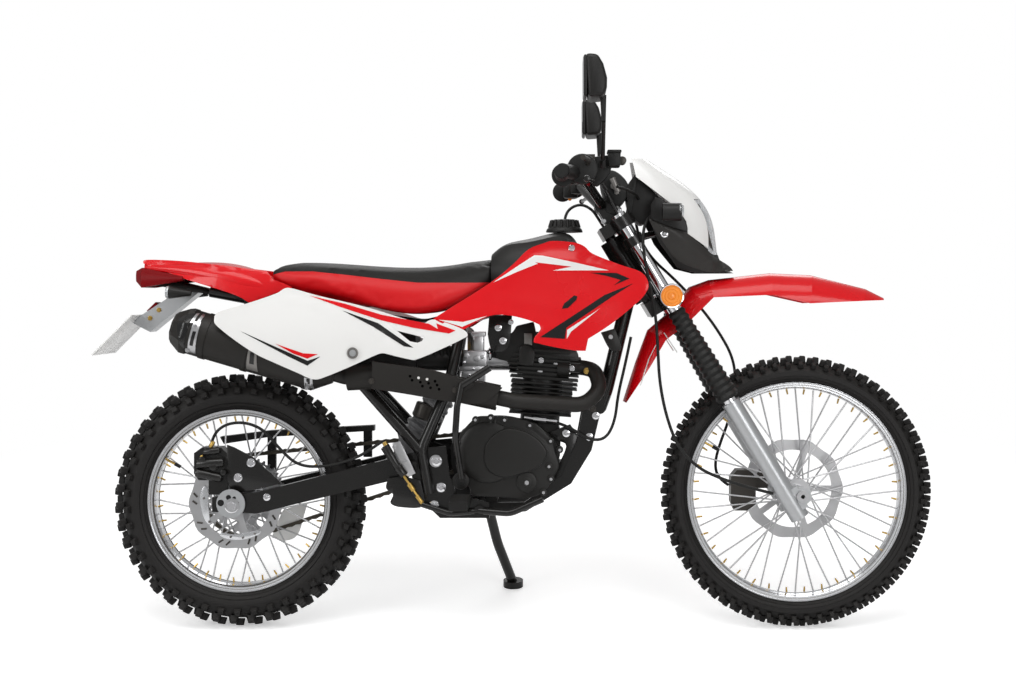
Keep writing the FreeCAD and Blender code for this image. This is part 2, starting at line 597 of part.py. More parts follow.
def fork():
    """The front fork: clamps and stem, stanchions, ribbed gaiters, sliders and axle."""
    spread = at.leg_spread
    front = at.leg_offset
    stem = cylinder("stem", "sizes.stem_radius", "sizes.upper_clamp_rise - sizes.lower_clamp_rise",
                    on_fork(0, 0, at.lower_clamp_rise), up_fork)
    clamps = [stem]
    for name, rise, thick in (("lower", at.lower_clamp_rise, at.clamp_thick),
                              ("upper", at.upper_clamp_rise, at.clamp_thick * 0.8)):
        reach = at.stanchion_radius + at.clamp_wall
        body = Part.makeBox(front + reach, spread * 2, thick, Vector(-reach * 0.6, -spread, 0))
        for side in (-spread, spread):
            body = body.fuse(Part.makeCylinder(reach, thick, Vector(front, side, 0)))
        for side in (-spread, spread):
            body = body.cut(Part.makeCylinder(at.stanchion_radius + at.fit, thick, Vector(front, side, 0)))
        clamps.append(fork_solid(name + "_clamp", body, rise))
    fused("triple_clamps", clamps)
    legs, boots, sliders = [], [], []
    for label, side in (("left", spread), ("right", -spread)):
        legs.append(cylinder(label + "_stanchion", "sizes.stanchion_radius",
                             "sizes.upper_clamp_rise + sizes.clamp_thick - sizes.slider_top + sizes.overrun",
                             on_fork(front, side, at.slider_top - at.overrun), up_fork))
        boots.append(fork_solid(label + "_gaiter", gaiter(front, side), 0))
        low = -at.slider_foot
        slider = Part.makeCylinder(at.slider_radius, at.slider_top - low, Vector(front, side, low))
        axle_reach = at.fork_offset - front
        lug = Part.makeCylinder(at.slider_radius * 0.9, at.slider_radius * 1.6,
                                Vector(at.fork_offset, side - at.slider_radius * 0.8, 0), Vector(*sideways))
        web = Part.makeBox(axle_reach, at.slider_radius * 1.6, at.slider_radius * 2.4,
                           Vector(front, side - at.slider_radius * 0.8, -at.slider_radius * 1.2))
        slider = slider.fuse([lug, web])
        slider = slider.cut([
            Part.makeCylinder(at.stanchion_radius + at.fit, at.overrun * 2,
                              Vector(front, side, at.slider_top - at.overrun - at.fit)),
            Part.makeCylinder(at.front_axle_thick / 2 + at.fit, spread * 4,
                              Vector(at.fork_offset, -spread * 2, 0), Vector(*sideways))])
        sliders.append(fork_solid(label + "_slider", slider, 0))
    grouped("fork_stanchions", legs)
    grouped("fork_gaiters", boots)
    grouped("fork_sliders", sliders)
    half = spread + at.slider_radius
    axle = cylinder("front_axle_bar", "sizes.front_axle_thick / 2", "2 * (sizes.leg_spread + sizes.slider_radius)",
                    (at.wheelbase, -half, at.front_axle_rise), sideways)
    head = cylinder("front_axle_nut", "sizes.front_axle_thick", "sizes.flange_wall",
                    (at.wheelbase, -half - at.flange_wall * 0.5, at.front_axle_rise), sideways)
    bored("front_axle", [axle, head], at.wheelbase, at.front_axle_rise)


def handlebar():
    """The bar in its two clamps, with grips, controls and mirrors."""
    half = at.bar_half_width
    bend = at.bar_bend_half
    seat = at.bar_seat_front
    points = [(-at.bar_back, -half, at.bar_rise), (at.bar_bend_front, -bend, at.bar_bend_rise),
              (seat, -at.bar_seat_half, at.bar_seat), (seat, at.bar_seat_half, at.bar_seat),
              (at.bar_bend_front, bend, at.bar_bend_rise), (-at.bar_back, half, at.bar_rise)]
    bar = tube("bar_tube", [on_fork(*p) for p in points], at.bar_radius, at.bar_seat_half)
    risers = []
    top_of_clamp = at.upper_clamp_rise + at.clamp_thick * 0.8
    for label, side in (("left", at.bar_seat_half * 0.5), ("right", -at.bar_seat_half * 0.5)):
        post = Part.makeBox(at.bar_clamp_radius * 1.6, at.clamp_thick, at.bar_seat - top_of_clamp,
                            Vector(seat - at.bar_clamp_radius * 0.8, side - at.clamp_thick / 2, top_of_clamp))
        ring = Part.makeCylinder(at.bar_clamp_radius, at.clamp_thick,
                                 Vector(seat, side - at.clamp_thick / 2, at.bar_seat), Vector(*sideways))
        risers.append(fork_solid(label + "_riser", post.fuse(ring), 0))
    fused("handlebar", [bar] + risers)
    grips, controls, mirrors = [], [], []
    for label, side in (("right", -1), ("left", 1)):
        end = Vector(*on_fork(-at.bar_back, side * half, at.bar_rise))
        root = Vector(*on_fork(at.bar_bend_front, side * bend, at.bar_bend_rise))
        inward = (root - end).normalize()
        bore = at.bar_radius + at.fit
        grip = Part.makeCylinder(at.grip_radius, at.grip_length, end, inward)
        grip = grip.cut(Part.makeCylinder(bore, at.grip_length, end, inward))
        grip = grip.fuse(Part.makeCylinder(at.grip_radius * 0.9, at.bar_radius / 2,
                                           end - inward * (at.bar_radius / 2), inward))
        grips.append(solid(label + "_grip", grip))
        perch = end + inward * (at.grip_length + at.fit)
        housing = Part.makeCylinder(at.grip_radius * 1.55, at.clamp_thick, perch, inward)
        ahead = Vector(*front_of_fork)
        pivot = perch + inward * at.clamp_thick + ahead * at.grip_radius * 1.5
        lever_end = end + ahead * (at.grip_radius * 3.4) - inward * at.bar_radius
        lever = tube(label + "_lever_bar", [pivot, (pivot + lever_end) / 2 + ahead * at.bar_radius, lever_end],
                     at.bar_radius * 0.55, at.grip_length).Shape
        clamp = Part.makeCylinder(at.grip_radius * 1.2, at.clamp_thick * 0.7,
                                  perch + inward * at.clamp_thick, inward)
        tank = Part.makeBox(at.clamp_thick, at.clamp_thick * 1.3, at.clamp_thick)
        tank.translate(pivot + Vector(-at.clamp_thick / 2, -at.clamp_thick * 0.65, -at.clamp_thick * 0.2))
        control = housing.fuse([lever, clamp, tank]).cut(
            Part.makeCylinder(bore, at.bar_half_width, end, inward))
        controls.append(solid(label + "_control", control))
        mirrors.append(mirror(label, side, pivot + Vector(0, 0, at.clamp_thick * 0.8 + at.fit * 2)))
    grouped("grips", grips)
    grouped("hand_controls", controls)
    grouped("mirrors", mirrors)


def mirror(label, side, root):
    """A mirror head on its bent stem, screwed into the lever perch."""
    head = Vector(at.mirror_x, side * at.mirror_spread, at.mirror_rise)
    foot = root
    knee = foot + Vector(at.grip_radius * 0.5, 0, (head.z - foot.z) * 0.45)
    stem = tube(label + "_mirror_stem", [foot, knee, head - Vector(0, 0, at.mirror_tall * 0.3)],
                at.stem_thick / 2, at.mirror_tall).Shape
    shell = Part.makeSphere(1)
    stretch = FreeCAD.Matrix()
    stretch.scale(at.mirror_thick / 2, at.mirror_wide / 2, at.mirror_tall / 2)
    shell = shell.transformGeometry(stretch)
    shell = shell.common(Part.makeBox(at.mirror_thick, at.mirror_wide, at.mirror_tall,
                                      Vector(-at.mirror_thick * 0.18, -at.mirror_wide / 2, -at.mirror_tall / 2)))
    shell.translate(head)
    return solid(label + "_mirror", shell.fuse(stem))


def head_end():
    """Where the spine meets the head tube."""
    return on_fork(0, 0, at.spine_rise)


def chassis():
    """Spine, down tube, engine cradle, seat tubes, braces and seat rails, welded into one."""
    half = at.frame_half
    foot = on_fork(0, 0, at.lower_clamp_rise + at.clamp_thick + at.head_gap)
    length = at.upper_clamp_rise - at.lower_clamp_rise - at.clamp_thick - 2 * at.head_gap
    head_tube = solid("head_tube", Part.makeCylinder(at.head_tube_radius, length, Vector(*foot),
                                                     Vector(*up_fork)))
    bore_foot = Vector(*foot) - Vector(*up_fork) * at.overrun
    head_bore = solid("head_bore", Part.makeCylinder(at.stem_radius + at.fit, length + 2 * at.overrun,
                                                     bore_foot, Vector(*up_fork)))
    low = on_fork(0, 0, at.down_tube_rise)
    spine_end = (at.pivot_x + 60, 0, at.seat_height - 95)
    spine = tube("spine", [head_end(), (at.pivot_x + 250, 0, at.seat_height - 42), spine_end], at.spine_tube, 200)
    down = tube("down_tube_run", [low, (at.case_x + 240, 0, at.case_z + 175), (at.case_x + 222, 0, at.case_z + 125)],
                at.down_tube, 200)
    rails = side_tubes("rail", [(at.pivot_x + 60, 30, at.seat_height - 95),
                                (at.pivot_x - 40, 88, at.seat_height - 120),
                                (200, 88, at.seat_height - 82), (-60, 82, at.seat_height - 34)],
                       at.frame_tube, 90)
    seat_tubes = side_tubes("seat_tube", [(at.pivot_x + 60, 30, at.seat_height - 110),
                                          (at.pivot_x + 30, half * 0.79, at.seat_height - 270),
                                          (at.pivot_x - 36, half, at.pivot_z + 30),
                                          (at.pivot_x - 16, half, at.pivot_z - 80)], at.frame_tube, 60)
    braces = side_tubes("brace", [(190, 84, at.seat_height - 92), (300, 82, at.seat_height - 245),
                                  (at.pivot_x - 38, half, at.pivot_z + 25)], at.frame_tube, 60)
    cradle_points = outline(CRADLE_SHARES, at.case_x - 110, at.case_z - 134, 342, 290)
    cradles = []
    for label, outer in (("left", at.cradle_half), ("right", -at.cradle_half + at.plate_wall)):
        cradles.append(plate(label + "_cradle", cradle_points, "sizes.plate_wall", outer))
    x, z = at.pivot_x, at.pivot_z
    pivot_points = [(x - 46, z + 30), (x + 24, z + 36), (x + 34, z - 40), (x + 52, z - 84), (x + 132, z - 104),
                    (x + 132, z - 142), (x + 10, z - 142), (x - 34, z - 100), (x - 60, z - 40)]
    plates = []
    inner = at.swingarm_half + at.pivot_gap
    for label, outer in (("left", inner + at.plate_wall), ("right", -inner)):
        plates.append(plate(label + "_pivot_plate", pivot_points, "sizes.plate_wall", outer))
    ties = [cylinder("pivot_tie", "sizes.frame_tube * 0.8", "sizes.swingarm_half * 2 + sizes.pivot_gap * 2",
                     (x + 90, -inner, z - 126), sideways),
            cylinder("front_tie", "sizes.down_tube * 0.8", "sizes.cradle_half * 2",
                     (at.case_x + 222, -at.cradle_half, at.case_z + 130), sideways),
            cylinder("rail_tie", "sizes.frame_tube * 0.7", "2 * 88",
                     (205, -88, at.seat_height - 83), sideways),
            cylinder("upper_shock_tie", "12", "2 * 88",
                     (x + 30, -88, 630), sideways)]
    tabs = [solid(f"panel_tab_{side}", Part.makeBox(84, 8, 20, Vector(244, min(side * 80, side * 88), 684)))
            for side in (-1, 1)]
    hanger = solid("tail_hanger", Part.makeBox(30, 60, 160, Vector(-50, -30, 790)))
    hanger = common("tail_hanger_low", [hanger, tail_room("hanger_room", at.fit)])
    hanger = cut("tail_hanger_seat", hanger, fender_form("hanger_fender", at.fit))
    above = solid("above_fender", Part.makeBox(200, 200, 100, Vector(-150, -100, 830)))
    hanger = common("tail_hanger_fitted", [hanger, above])
    rear_tie = cylinder("rear_tie", "9", "2 * 82", (-35, -82, at.seat_height - 20), sideways)
    lug = Part.makeCylinder(16, 15, Vector(at.stand_pivot_x, at.stand_pivot_y, at.stand_pivot_z)
                            - Vector(*stand_axis) * 23.3, Vector(*stand_axis))
    lug = lug.cut(Part.makeCylinder(5 + at.fit, 60, Vector(at.stand_pivot_x, at.stand_pivot_y, at.stand_pivot_z)
                                    - Vector(*stand_axis) * 40, Vector(*stand_axis)))
    lug = solid("stand_lug", lug)
    steel = [head_tube, spine, down, hanger, rear_tie, lug] + tabs + rails + seat_tubes + braces + cradles + plates + ties
    joined = named("Part::MultiFuse", "frame_steel")
    joined.Shapes = steel
    joined.Refine = False
    pivot_bore = cylinder("pivot_bore", "sizes.pivot_bolt + sizes.fit", "sizes.frame_half * 4",
                          (x, -2 * half, z), sideways)
    stand_bore = cylinder("stand_bore", "5 + sizes.fit", "90",
                          Vector(at.stand_pivot_x, at.stand_pivot_y, at.stand_pivot_z) - Vector(*stand_axis) * 60,
                          stand_axis)
    bores = named("Part::Compound", "frame_bores")
    bores.Links = [head_bore, pivot_bore, stand_bore]
    finished(cut("frame_bored", joined, bores), "main_frame")
    bolt = cylinder("pivot_shank", "sizes.pivot_bolt", "2 * (sizes.frame_half + sizes.plate_wall)",
                    (x, -half - at.plate_wall, z), sideways)
    outer = at.swingarm_half + at.pivot_gap + at.plate_wall
    heads = [cylinder(f"pivot_head_{side}", "sizes.pivot_bolt * 1.7", "sizes.pivot_bolt",
                      (x, side * (outer + at.fit), z), (0, side, 0)) for side in (-1, 1)]
    fused("swingarm_pivot", [bolt] + heads)


def engine():
    """Cases and covers, finned barrel, head and carburettor."""
    x, z = at.case_x, at.case_z
    tilt = Vector(math.sin(math.radians(at.cylinder_tilt)), 0, math.cos(math.radians(at.cylinder_tilt)))
    foot = Vector(at.cylinder_x - (at.cylinder_top - at.cylinder_base) * tilt.x, 0, at.cylinder_base)

    def deck(place):
        """The case's top deck, square to the cylinder."""
        return (place, foot.z - at.fit - (place - foot.x) * tilt.x / tilt.z)
    case_points = [(x - 152, z - 10), (x - 140, z - 50), (x - 100, z - 82), (x + 40, z - 86), (x + 100, z - 52),
                   (x + 122, z + 10), (x + 124, z + 60), deck(x + 118), deck(x - 80), (x - 130, z + 66),
                   (x - 152, z + 36)]
    half = at.rear_hub_width / 2 - at.sprocket_wall / 2 - at.chain_width / 2 - 4
    seat = at.cradle_half - at.plate_wall - at.fit
    lugs = [cylinder(name, "15", "2 * (sizes.cradle_half - sizes.plate_wall - sizes.fit)", (place_x, -seat, place_z),
                     sideways) for name, place_x, place_z in (("front_lug", x + 141, z - 22), ("lower_lug", x - 50, z - 103))]
    neck = prism("lower_neck", [(x - 65, z - 100), (x - 35, z - 100), (x - 35, z - 70), (x - 65, z - 70)], half)
    nose = prism("front_neck", [(x + 100, z - 34), (x + 141, z - 34), (x + 141, z - 10), (x + 100, z - 10)], half)
    fused("engine_case", [prism("case_block", case_points, half), neck, nose] + lugs)
    right = Part.makeCylinder(at.case_radius * 0.9, at.cover_wall, Vector(), Vector(0, -1, 0))
    stretch = FreeCAD.Matrix()
    stretch.scale(1.08, 1, 0.9)
    cover = right.transformGeometry(stretch)
    egg = Part.makeCylinder(at.case_radius * 0.6, at.cover_wall * 0.4,
                            Vector(at.case_radius * 0.17, -at.cover_wall, 0), Vector(0, -1, 0))
    cover = cover.fuse(egg)
    cover.translate(Vector(x + 6, -half - at.fit, z + 5))
    cover = cover.fuse(Part.makeBox(12, 13, 42, Vector(x + 38, -half - at.cover_wall, z + 72)))
    left = Part.makeCylinder(at.case_radius * 0.75, at.cover_wall * 1.1, Vector(x + 20, 0, z + 5), Vector(0, 1, 0))
    left.translate(Vector(0, half + at.fit, 0))
    grouped("engine_covers", [solid("clutch_cover", cover), solid("generator_cover", left)])
    barrel = Part.makeCylinder(at.barrel_radius, at.cylinder_top - at.cylinder_base, foot, tilt)
    turn = FreeCAD.Placement(foot, FreeCAD.Rotation(Vector(0, 1, 0), at.cylinder_tilt))
    fins = []
    rise = at.fin_pitch * 2
    while rise < at.cylinder_top - at.cylinder_base - at.fin_wall:
        fin = Part.makeBox(at.fin_half_long * 2, at.fin_half_wide * 2, at.fin_wall,
                           Vector(-at.fin_half_long, -at.fin_half_wide, rise))
        fins.append(fin.transformed(turn.toMatrix()))
        rise += at.fin_pitch
    fused("cylinder", [solid("barrel", barrel), solid("barrel_fins", Part.makeCompound(fins))])
    top = at.cylinder_top - at.cylinder_base
    head_tall = at.head_top - at.cylinder_top
    low = top + at.fit
    core = Part.makeBox(at.fin_half_long * 1.36, at.fin_half_wide * 1.2, head_tall,
                        Vector(-at.fin_half_long * 0.68, -at.fin_half_wide * 0.6, low))
    head_fins = []
    rise = low
    while rise < low + head_tall - at.fin_wall:
        head_fins.append(Part.makeBox(at.fin_half_long * 1.7, at.fin_half_wide * 1.6, at.fin_wall,
                                      Vector(-at.fin_half_long * 0.85, -at.fin_half_wide * 0.8, rise)))
        rise += at.fin_pitch
    deck_plate = Part.makeBox(at.fin_half_long * 1.7, at.fin_half_wide * 1.6, at.fin_wall,
                              Vector(-at.fin_half_long * 0.85, -at.fin_half_wide * 0.8, low + head_tall - at.fin_wall))
    outlet = Part.makeCylinder(at.header_radius + at.port_wall, at.fin_half_long * 0.4,
                               Vector(at.fin_half_long * 0.45, -at.outlet_side, at.head_top - at.outlet_drop - foot.z),
                               Vector(1, 0, 0))
    inlet = Part.makeCylinder(at.inlet_radius + at.port_wall, at.fin_half_long * 0.4,
                              Vector(-at.fin_half_long * 0.85, 0, at.carb_z - foot.z), Vector(1, 0, 0))
    head = core.fuse(head_fins + [deck_plate, outlet, inlet])
    cover = Part.makeBox(at.fin_half_long * 1.5, at.fin_half_wide * 1.3, at.head_cover_top - at.head_top,
                         Vector(-at.fin_half_long * 0.75, -at.fin_half_wide * 0.65, top + head_tall + at.fit))
    finished(solid("head_block", head.fuse(cover).transformed(turn.toMatrix())), "cylinder_head")
    body = Part.makeCylinder(24, 60, Vector(at.carb_x - 30, 0, at.carb_z), Vector(1, 0, 0))
    bowl = Part.makeBox(50, 52, 50, Vector(at.carb_x - 25, -26, at.carb_z - 62))
    slide = Part.makeCylinder(20, 70, Vector(at.carb_x, 0, at.carb_z), Vector(0, 0, 1))
    port = foot.x + (at.carb_z - foot.z) * tilt.x - at.fin_half_long * 0.85 - 2.5
    intake = Part.makeCylinder(26, port - at.carb_x - 30, Vector(at.carb_x + 30, 0, at.carb_z), Vector(1, 0, 0))
    finished(solid("carburettor_body", body.fuse([bowl, slide, intake])), "carburettor")


def exhaust():
    """Header pipe, its perforated shield and the silencer."""
    z = at.head_top - 45
    back = Vector(-112, -112, 750)
    front = Vector(212, -117, 655)
    along = (front - back).normalize()
    neck = front + along * 46
    points = [(at.cylinder_x + 70, -38, z), (at.cylinder_x + 100, -38, z), (at.cylinder_x + 132, -62, z - 7),
              (at.cylinder_x + 145, -92, z - 52), (at.cylinder_x + 105, -118, z - 90),
              (at.case_x + 10, -136, z - 79), (at.case_x - 90, -134, z - 58),
              (at.pivot_x - 110, -122, z - 16), tuple(neck + along * 30), tuple(neck + along * at.fit)]
    finished(tube("header_run", points, at.header_radius, 80), "exhaust_pipe")
    can = Part.makeCylinder(at.muffler_radius, (front - back).Length, back, along)
    cone = Part.makeCone(at.muffler_radius, at.header_radius + 5, 46, front, along)
    turn = turned_to(along)

    def facet_ring(reach, distance):
        """An eight-sided ring square to the silencer, for its faceted end cap."""
        corners = [back + along * distance + turn.multVec(Vector(reach * math.cos(a), reach * math.sin(a), 0))
                   for a in [math.radians(22.5 + 45 * side) for side in range(8)]]
        return Part.makePolygon(corners + corners[:1])
    widest = at.muffler_radius / math.cos(math.radians(22.5))
    tip = widest * at.muffler_tip_share
    cap = Part.makeLoft([facet_ring(widest, at.band_wide), facet_ring(widest, 0),
                         facet_ring(tip * 1.25, -at.muffler_cap * 0.8), facet_ring(tip, -at.muffler_cap)], True, True)
    mouth = Part.makeCylinder(at.header_radius, at.muffler_cap, back - along * (at.muffler_cap + 1), along)
    bands = [Part.makeCylinder(at.muffler_radius + at.band_wall, at.band_wide,
                               back + (front - back) * share, along) for share in (0.14, 0.46, 0.93)]
    strap = Part.makeBox(26, 5, 94, Vector(28, -103.7, 738))
    finished(solid("silencer_can", can.fuse([cone, cap, strap] + bands).cut(mouth)), "muffler")
    cover = [(at.case_x - 30, -135, z - 70.5), (at.case_x - 90, -134, z - 58), (at.pivot_x - 110, -122, z - 16),
             tuple(neck + along * 32)]
    outer = tube("shield_outer", cover, at.header_radius + 13, 80)
    inner = tube("shield_inner", cover, at.header_radius + 13 - at.shield_wall, 80)
    near_side = solid("shield_side", Part.makeBox(600, 90, 400, Vector(200, -210, 400)))
    studs = [cylinder(f"shield_stud_{x}", "5", "11", (x, y - at.header_radius - at.fit, rise), (0, -1, 0))
             for x, y, rise in ((560, -131.7, 604.5), (430, -124.1, 631.5))]
    shell = common("shield_shell", [cut("shield_tube", outer, inner), near_side])
    fused("heat_shield", [shell] + studs)


TANK_STATIONS = [(640, 860, 935, 70, 92, 60, 6), (720, 815, 968, 110, 125, 84, 10),
                 (800, 800, 984, 128, 140, 80, 12), (840, 806, 979, 126, 134, 60, 10),
                 (860, 818, 952, 112, 118, 42, 8), (872, 830, 920, 96, 102, 40, 6),
                 (905, 850, 894, 76, 80, 44, 5)]
BODY_STATIONS = [(-260, 560, 960, 120, 130, 100), (-60, 560, 960, 170, 180, 144),
                 (150, 560, 950, 176, 184, 138), (350, 560, 950, 170, 172, 126),
                 (500, 560, 980, 158, 152, 114), (700, 560, 1005, 168, 166, 120),
                 (880, 600, 1010, 192, 196, 140), (1045, 640, 1010, 214, 212, 172)]


def body_form(name, inset):
    """The outer form of the bodywork, or the same form inset by a wall."""
    stations = []
    for x, low, top, half_low, half_mid, half_top in BODY_STATIONS:
        stations.append((x, low, top, half_low - inset, half_mid - inset, half_top - inset, 4))
    return form(name, stations)


def tail_form(name, grow=0):
    """The outer form of the tail, or the same form grown by a clearance."""
    stations = []
    for x, low, top, half_low, half_mid, half_top, crown in (
            (-232 - grow, 902, 918, 40, 58, 48, 4), (-120, 878, 914, 74, 92, 72, 6),
            (30, 838, 900, 104, 118, 84, 4), (90, 838, 868, 104, 118, 90, 1)):
        stations.append((x, low - grow, top + grow, half_low + grow, half_mid + grow, half_top + grow, crown))
    return form(name, stations)


def tail_room(name, inset):
    """The hollow under the tail, or the same hollow inset by a clearance."""
    wall = inset
    return form(name, [(-228, 882, 914 - wall, 37 - wall, 55 - wall, 44 - wall, 3),
                       (-120, 858, 910 - wall, 71 - wall, 89 - wall, 68 - wall, 5),
                       (30, 818, 896 - wall, 101 - wall, 115 - wall, 80 - wall, 3),
                       (100, 818, 862 - wall, 101 - wall, 115 - wall, 86 - wall, 1)])


def fender_form(name, grow):
    """The rear fender's outer form, or the same form grown by a clearance."""
    return form(name, [(-228, 866, 888 + grow, 50 + grow, 52 + grow, 46 + grow, 2),
                       (-120, 812, 862 + grow, 60 + grow, 62 + grow, 56 + grow, 2),
                       (40, 780, 822 + grow, 62 + grow, 64 + grow, 58 + grow, 2),
                       (170, 742, 784 + grow, 62 + grow, 64 + grow, 58 + grow, 2),
                       (270, 690, 744 + grow, 60 + grow, 62 + grow, 56 + grow, 2)])


def tank_form(name, grow):
    """The fuel tank between the shrouds, or the same form grown by a clearance."""
    stations = []
    for x, low, top, half_low, half_mid, half_top, crown in TANK_STATIONS:
        stations.append((x, low - grow, top + grow, half_low + grow, half_mid + grow, half_top + grow, crown))
    return form(name, stations)


def plastics():
    """Tank, shrouds, seat, side panels and tail, whose skins follow one outer form."""
    inside = body_form("inner_form", at.panel_wall)
    skin = cut("skin", body_form("outer_form", 0), inside)
    for label, key, shares, x, z, reach in (
            ("tank_shrouds", "shroud", SHROUD_SHARES, 840, 950, 0),
            ("side_panels", "side_panel", SIDE_PANEL_SHARES, 309, 694, 88.3)):
        points = outline(shares, getattr(at, key + "_x"), getattr(at, key + "_z"),
                         getattr(at, key + "_length"), getattr(at, key + "_height"))
        panel = common(label + "_both", [skin, prism(label + "_prism", points, 300)])
        bar = cylinder(label + "_bar", "8", "600", (x, -300, z), sideways)
        post = common(label + "_bar_inside", [bar, inside])
        room = tank_form("tank_room", at.fit) if not reach else solid(
            "tab_room", Part.makeBox(80, 2 * reach, 80, Vector(x - 40, -reach, z - 40)))
        fused(label, [panel, cut(label + "_posts", post, room)])
    tunnel = tube("spine_room", [head_end(), (at.pivot_x + 250, 0, at.seat_height - 42),
                                 (at.pivot_x + 60, 0, at.seat_height - 95)], at.spine_tube + at.fit, 200)
    collar = cylinder("head_room", "sizes.head_tube_radius + 10", "300",
                      on_fork(0, 0, at.lower_clamp_rise), up_fork)
    down_room = tube("down_tube_room", [on_fork(0, 0, at.down_tube_rise),
                                        (at.case_x + 240, 0, at.case_z + 175)], at.down_tube + 8, 200)
    rooms = named("Part::MultiFuse", "tank_rooms")
    rooms.Shapes = [tunnel, collar, down_room]
    finished(cut("tank_tunnelled", tank_form("tank_form", 0), rooms), "fuel_tank")
    cap = cylinder("cap", "46", "18", (823, 0, 997.2), (0, 0, 1))
    finished(cap, "fuel_cap")
    cushion = form("seat_form", [(92, 872, 902, 84, 92, 60, 8), (180, 846, 900, 104, 112, 86, 14),
                                 (330, 812, 890, 112, 118, 92, 16), (470, 790, 884, 106, 116, 84, 18),
                                 (590, 832, 900, 92, 98, 62, 18), (700, 925, 942, 74, 78, 44, 14)])
    seat = cut("seat_over_tank", cushion, tank_form("tank_clearance", 0.4))
    finished(seat, "seat")
    finished(cut("tail_shell", tail_form("tail_outer"), tail_room("tail_inner", 0)), "tail_fairing")
    fender = fender_form("fender_form", 0)
    hollow = form("fender_hollow", [(-240, 850, 885, 47, 49, 43, 2), (-120, 800, 859, 57, 59, 53, 2),
                                    (40, 770, 819, 59, 61, 55, 2), (170, 730, 781, 59, 61, 55, 2),
                                    (280, 670, 740, 57, 59, 53, 2)])
    stalk_room = cylinder("stalk_room", "sizes.stalk_radius + sizes.fit", "2 * sizes.rear_lamp_spread",
                          (-134, -at.rear_lamp_spread, 842), sideways)
    hollows = named("Part::MultiFuse", "fender_rooms")
    hollows.Shapes = [hollow, stalk_room]
    finished(cut("rear_fender_shell", fender, hollows), "rear_fender")


def rear_end():
    """Lamp, plate bracket, swingarm, shock, chain guard and rear brake."""
    lamp = solid("lamp_form", Part.makeLoft([section(-256, 872, 898, 46, 48, 44, 1),
                                             section(-238, 856, 906, 64, 68, 58, 1),
                                             section(-128, 873, 884, 92, 96, 90, 1)], True, True))
    room = solid("lamp_room", Part.makeBox(160, 124, 80, Vector(-230, -62, 845)))
    rooms = named("Part::MultiFuse", "lamp_rooms")
    rooms.Shapes = [room, tail_form("lamp_tail_room", at.fit), tail_form("lamp_tail")]
    finished(cut("lamp_fitted", lamp, rooms), "tail_light")
    bracket = plate("bracket_arm", [(-130, 862.5), (-92, 852.5), (-225, 744), (-270, 766.8), (-255, 781.8)], "60", 30)
    stalk = cylinder("indicator_stalk", "sizes.stalk_radius", "2 * sizes.rear_lamp_spread", (-134, -at.rear_lamp_spread, 842), sideways)
    lamps = [solid(f"rear_indicator_{side}", Part.makeCone(15.5, 6, 50, Vector(-160, side * at.rear_lamp_spread, 844),
                                                           Vector(1, 0, -0.05)).fuse(
        Part.makeCylinder(14, 7, Vector(-166, side * at.rear_lamp_spread, 844.3), Vector(1, 0, -0.05))))
             for side in (-1, 1)]
    fused("plate_bracket", [bracket, stalk] + lamps)
    number = Part.makeBox(at.sheet_wall, at.plate_wide, at.plate_tall, Vector(0, -at.plate_wide / 2, 0))
    number = number.rotated(Vector(), Vector(0, 1, 0), 45)
    number.translate(Vector(-352, 0, 688))
    finished(solid("number_sheet", number), "number_plate")
    half, tall, thick = at.swingarm_half, at.swingarm_tall, at.swingarm_thick
    x, z, end = at.pivot_x, at.pivot_z, at.rear_axle_rise
    arm_points = [(-52, end - tall * 0.32), (-52, end + tall * 0.32), (60, end + tall * 0.55),
                  (x - 20, z + tall * 0.5), (x + 26, z + tall * 0.2), (x + 26, z - tall * 0.2),
                  (x - 20, z - tall * 0.5), (60, end - tall * 0.4)]
    arms = []
    for label, outer in (("left", half), ("right", -half + thick)):
        arms.append(plate(label + "_arm", arm_points, "sizes.swingarm_thick", outer))
    cross = solid("arm_cross", Part.makeBox(60, 2 * half - thick, tall * 0.8, Vector(x - 130, -half + thick / 2, z - tall * 0.8)))
    joined = named("Part::MultiFuse", "swingarm_joined")
    joined.Shapes = arms + [cross]
    bores = solid("arm_bores", Part.makeCompound([
        Part.makeCylinder(at.rear_axle_thick / 2 + at.fit, 400, Vector(0, -200, end), Vector(*sideways)),
        Part.makeCylinder(at.pivot_bolt + at.fit, 400, Vector(x, -200, z), Vector(*sideways))]))
    finished(cut("swingarm_bored", joined, bores), "swingarm")
    axle = cylinder("rear_axle_bar", "sizes.rear_axle_thick / 2", "2 * sizes.swingarm_half + 24",
                    (0, -half - 12, end), sideways)
    nut = cylinder("rear_axle_nut", "sizes.rear_axle_thick", "10", (0, -half - 11, end), sideways)
    snails = [cylinder(f"adjuster_{side}", "sizes.adjuster_radius", "sizes.adjuster_wall",
                       (0, side * (half + at.fit), end), (0, side, 0)) for side in (-1, 1)]
    bored("rear_axle", [axle, nut] + snails, 0, end)


def saddle(name, stations, wall):
    """A thin arched shell lofted along a curved line: place, slope, half width and drop."""
    wires = []
    for x, z, slope, half, drop in stations:
        turn = FreeCAD.Placement(Vector(x, 0, z), FreeCAD.Rotation(Vector(0, 1, 0), -slope))

        def spot(side, rise):
            return turn.multVec(Vector(0, side, rise))
        wires.append(Part.Wire([
            Part.Arc(spot(-half, -drop), spot(0, 0), spot(half, -drop)).toShape(),
            Part.LineSegment(spot(half, -drop), spot(half - wall, -drop)).toShape(),
            Part.Arc(spot(half - wall, -drop), spot(0, -wall), spot(-half + wall, -drop)).toShape(),
            Part.LineSegment(spot(-half + wall, -drop), spot(-half, -drop)).toShape()]))
    return solid(name, Part.makeLoft(wires, True, True))


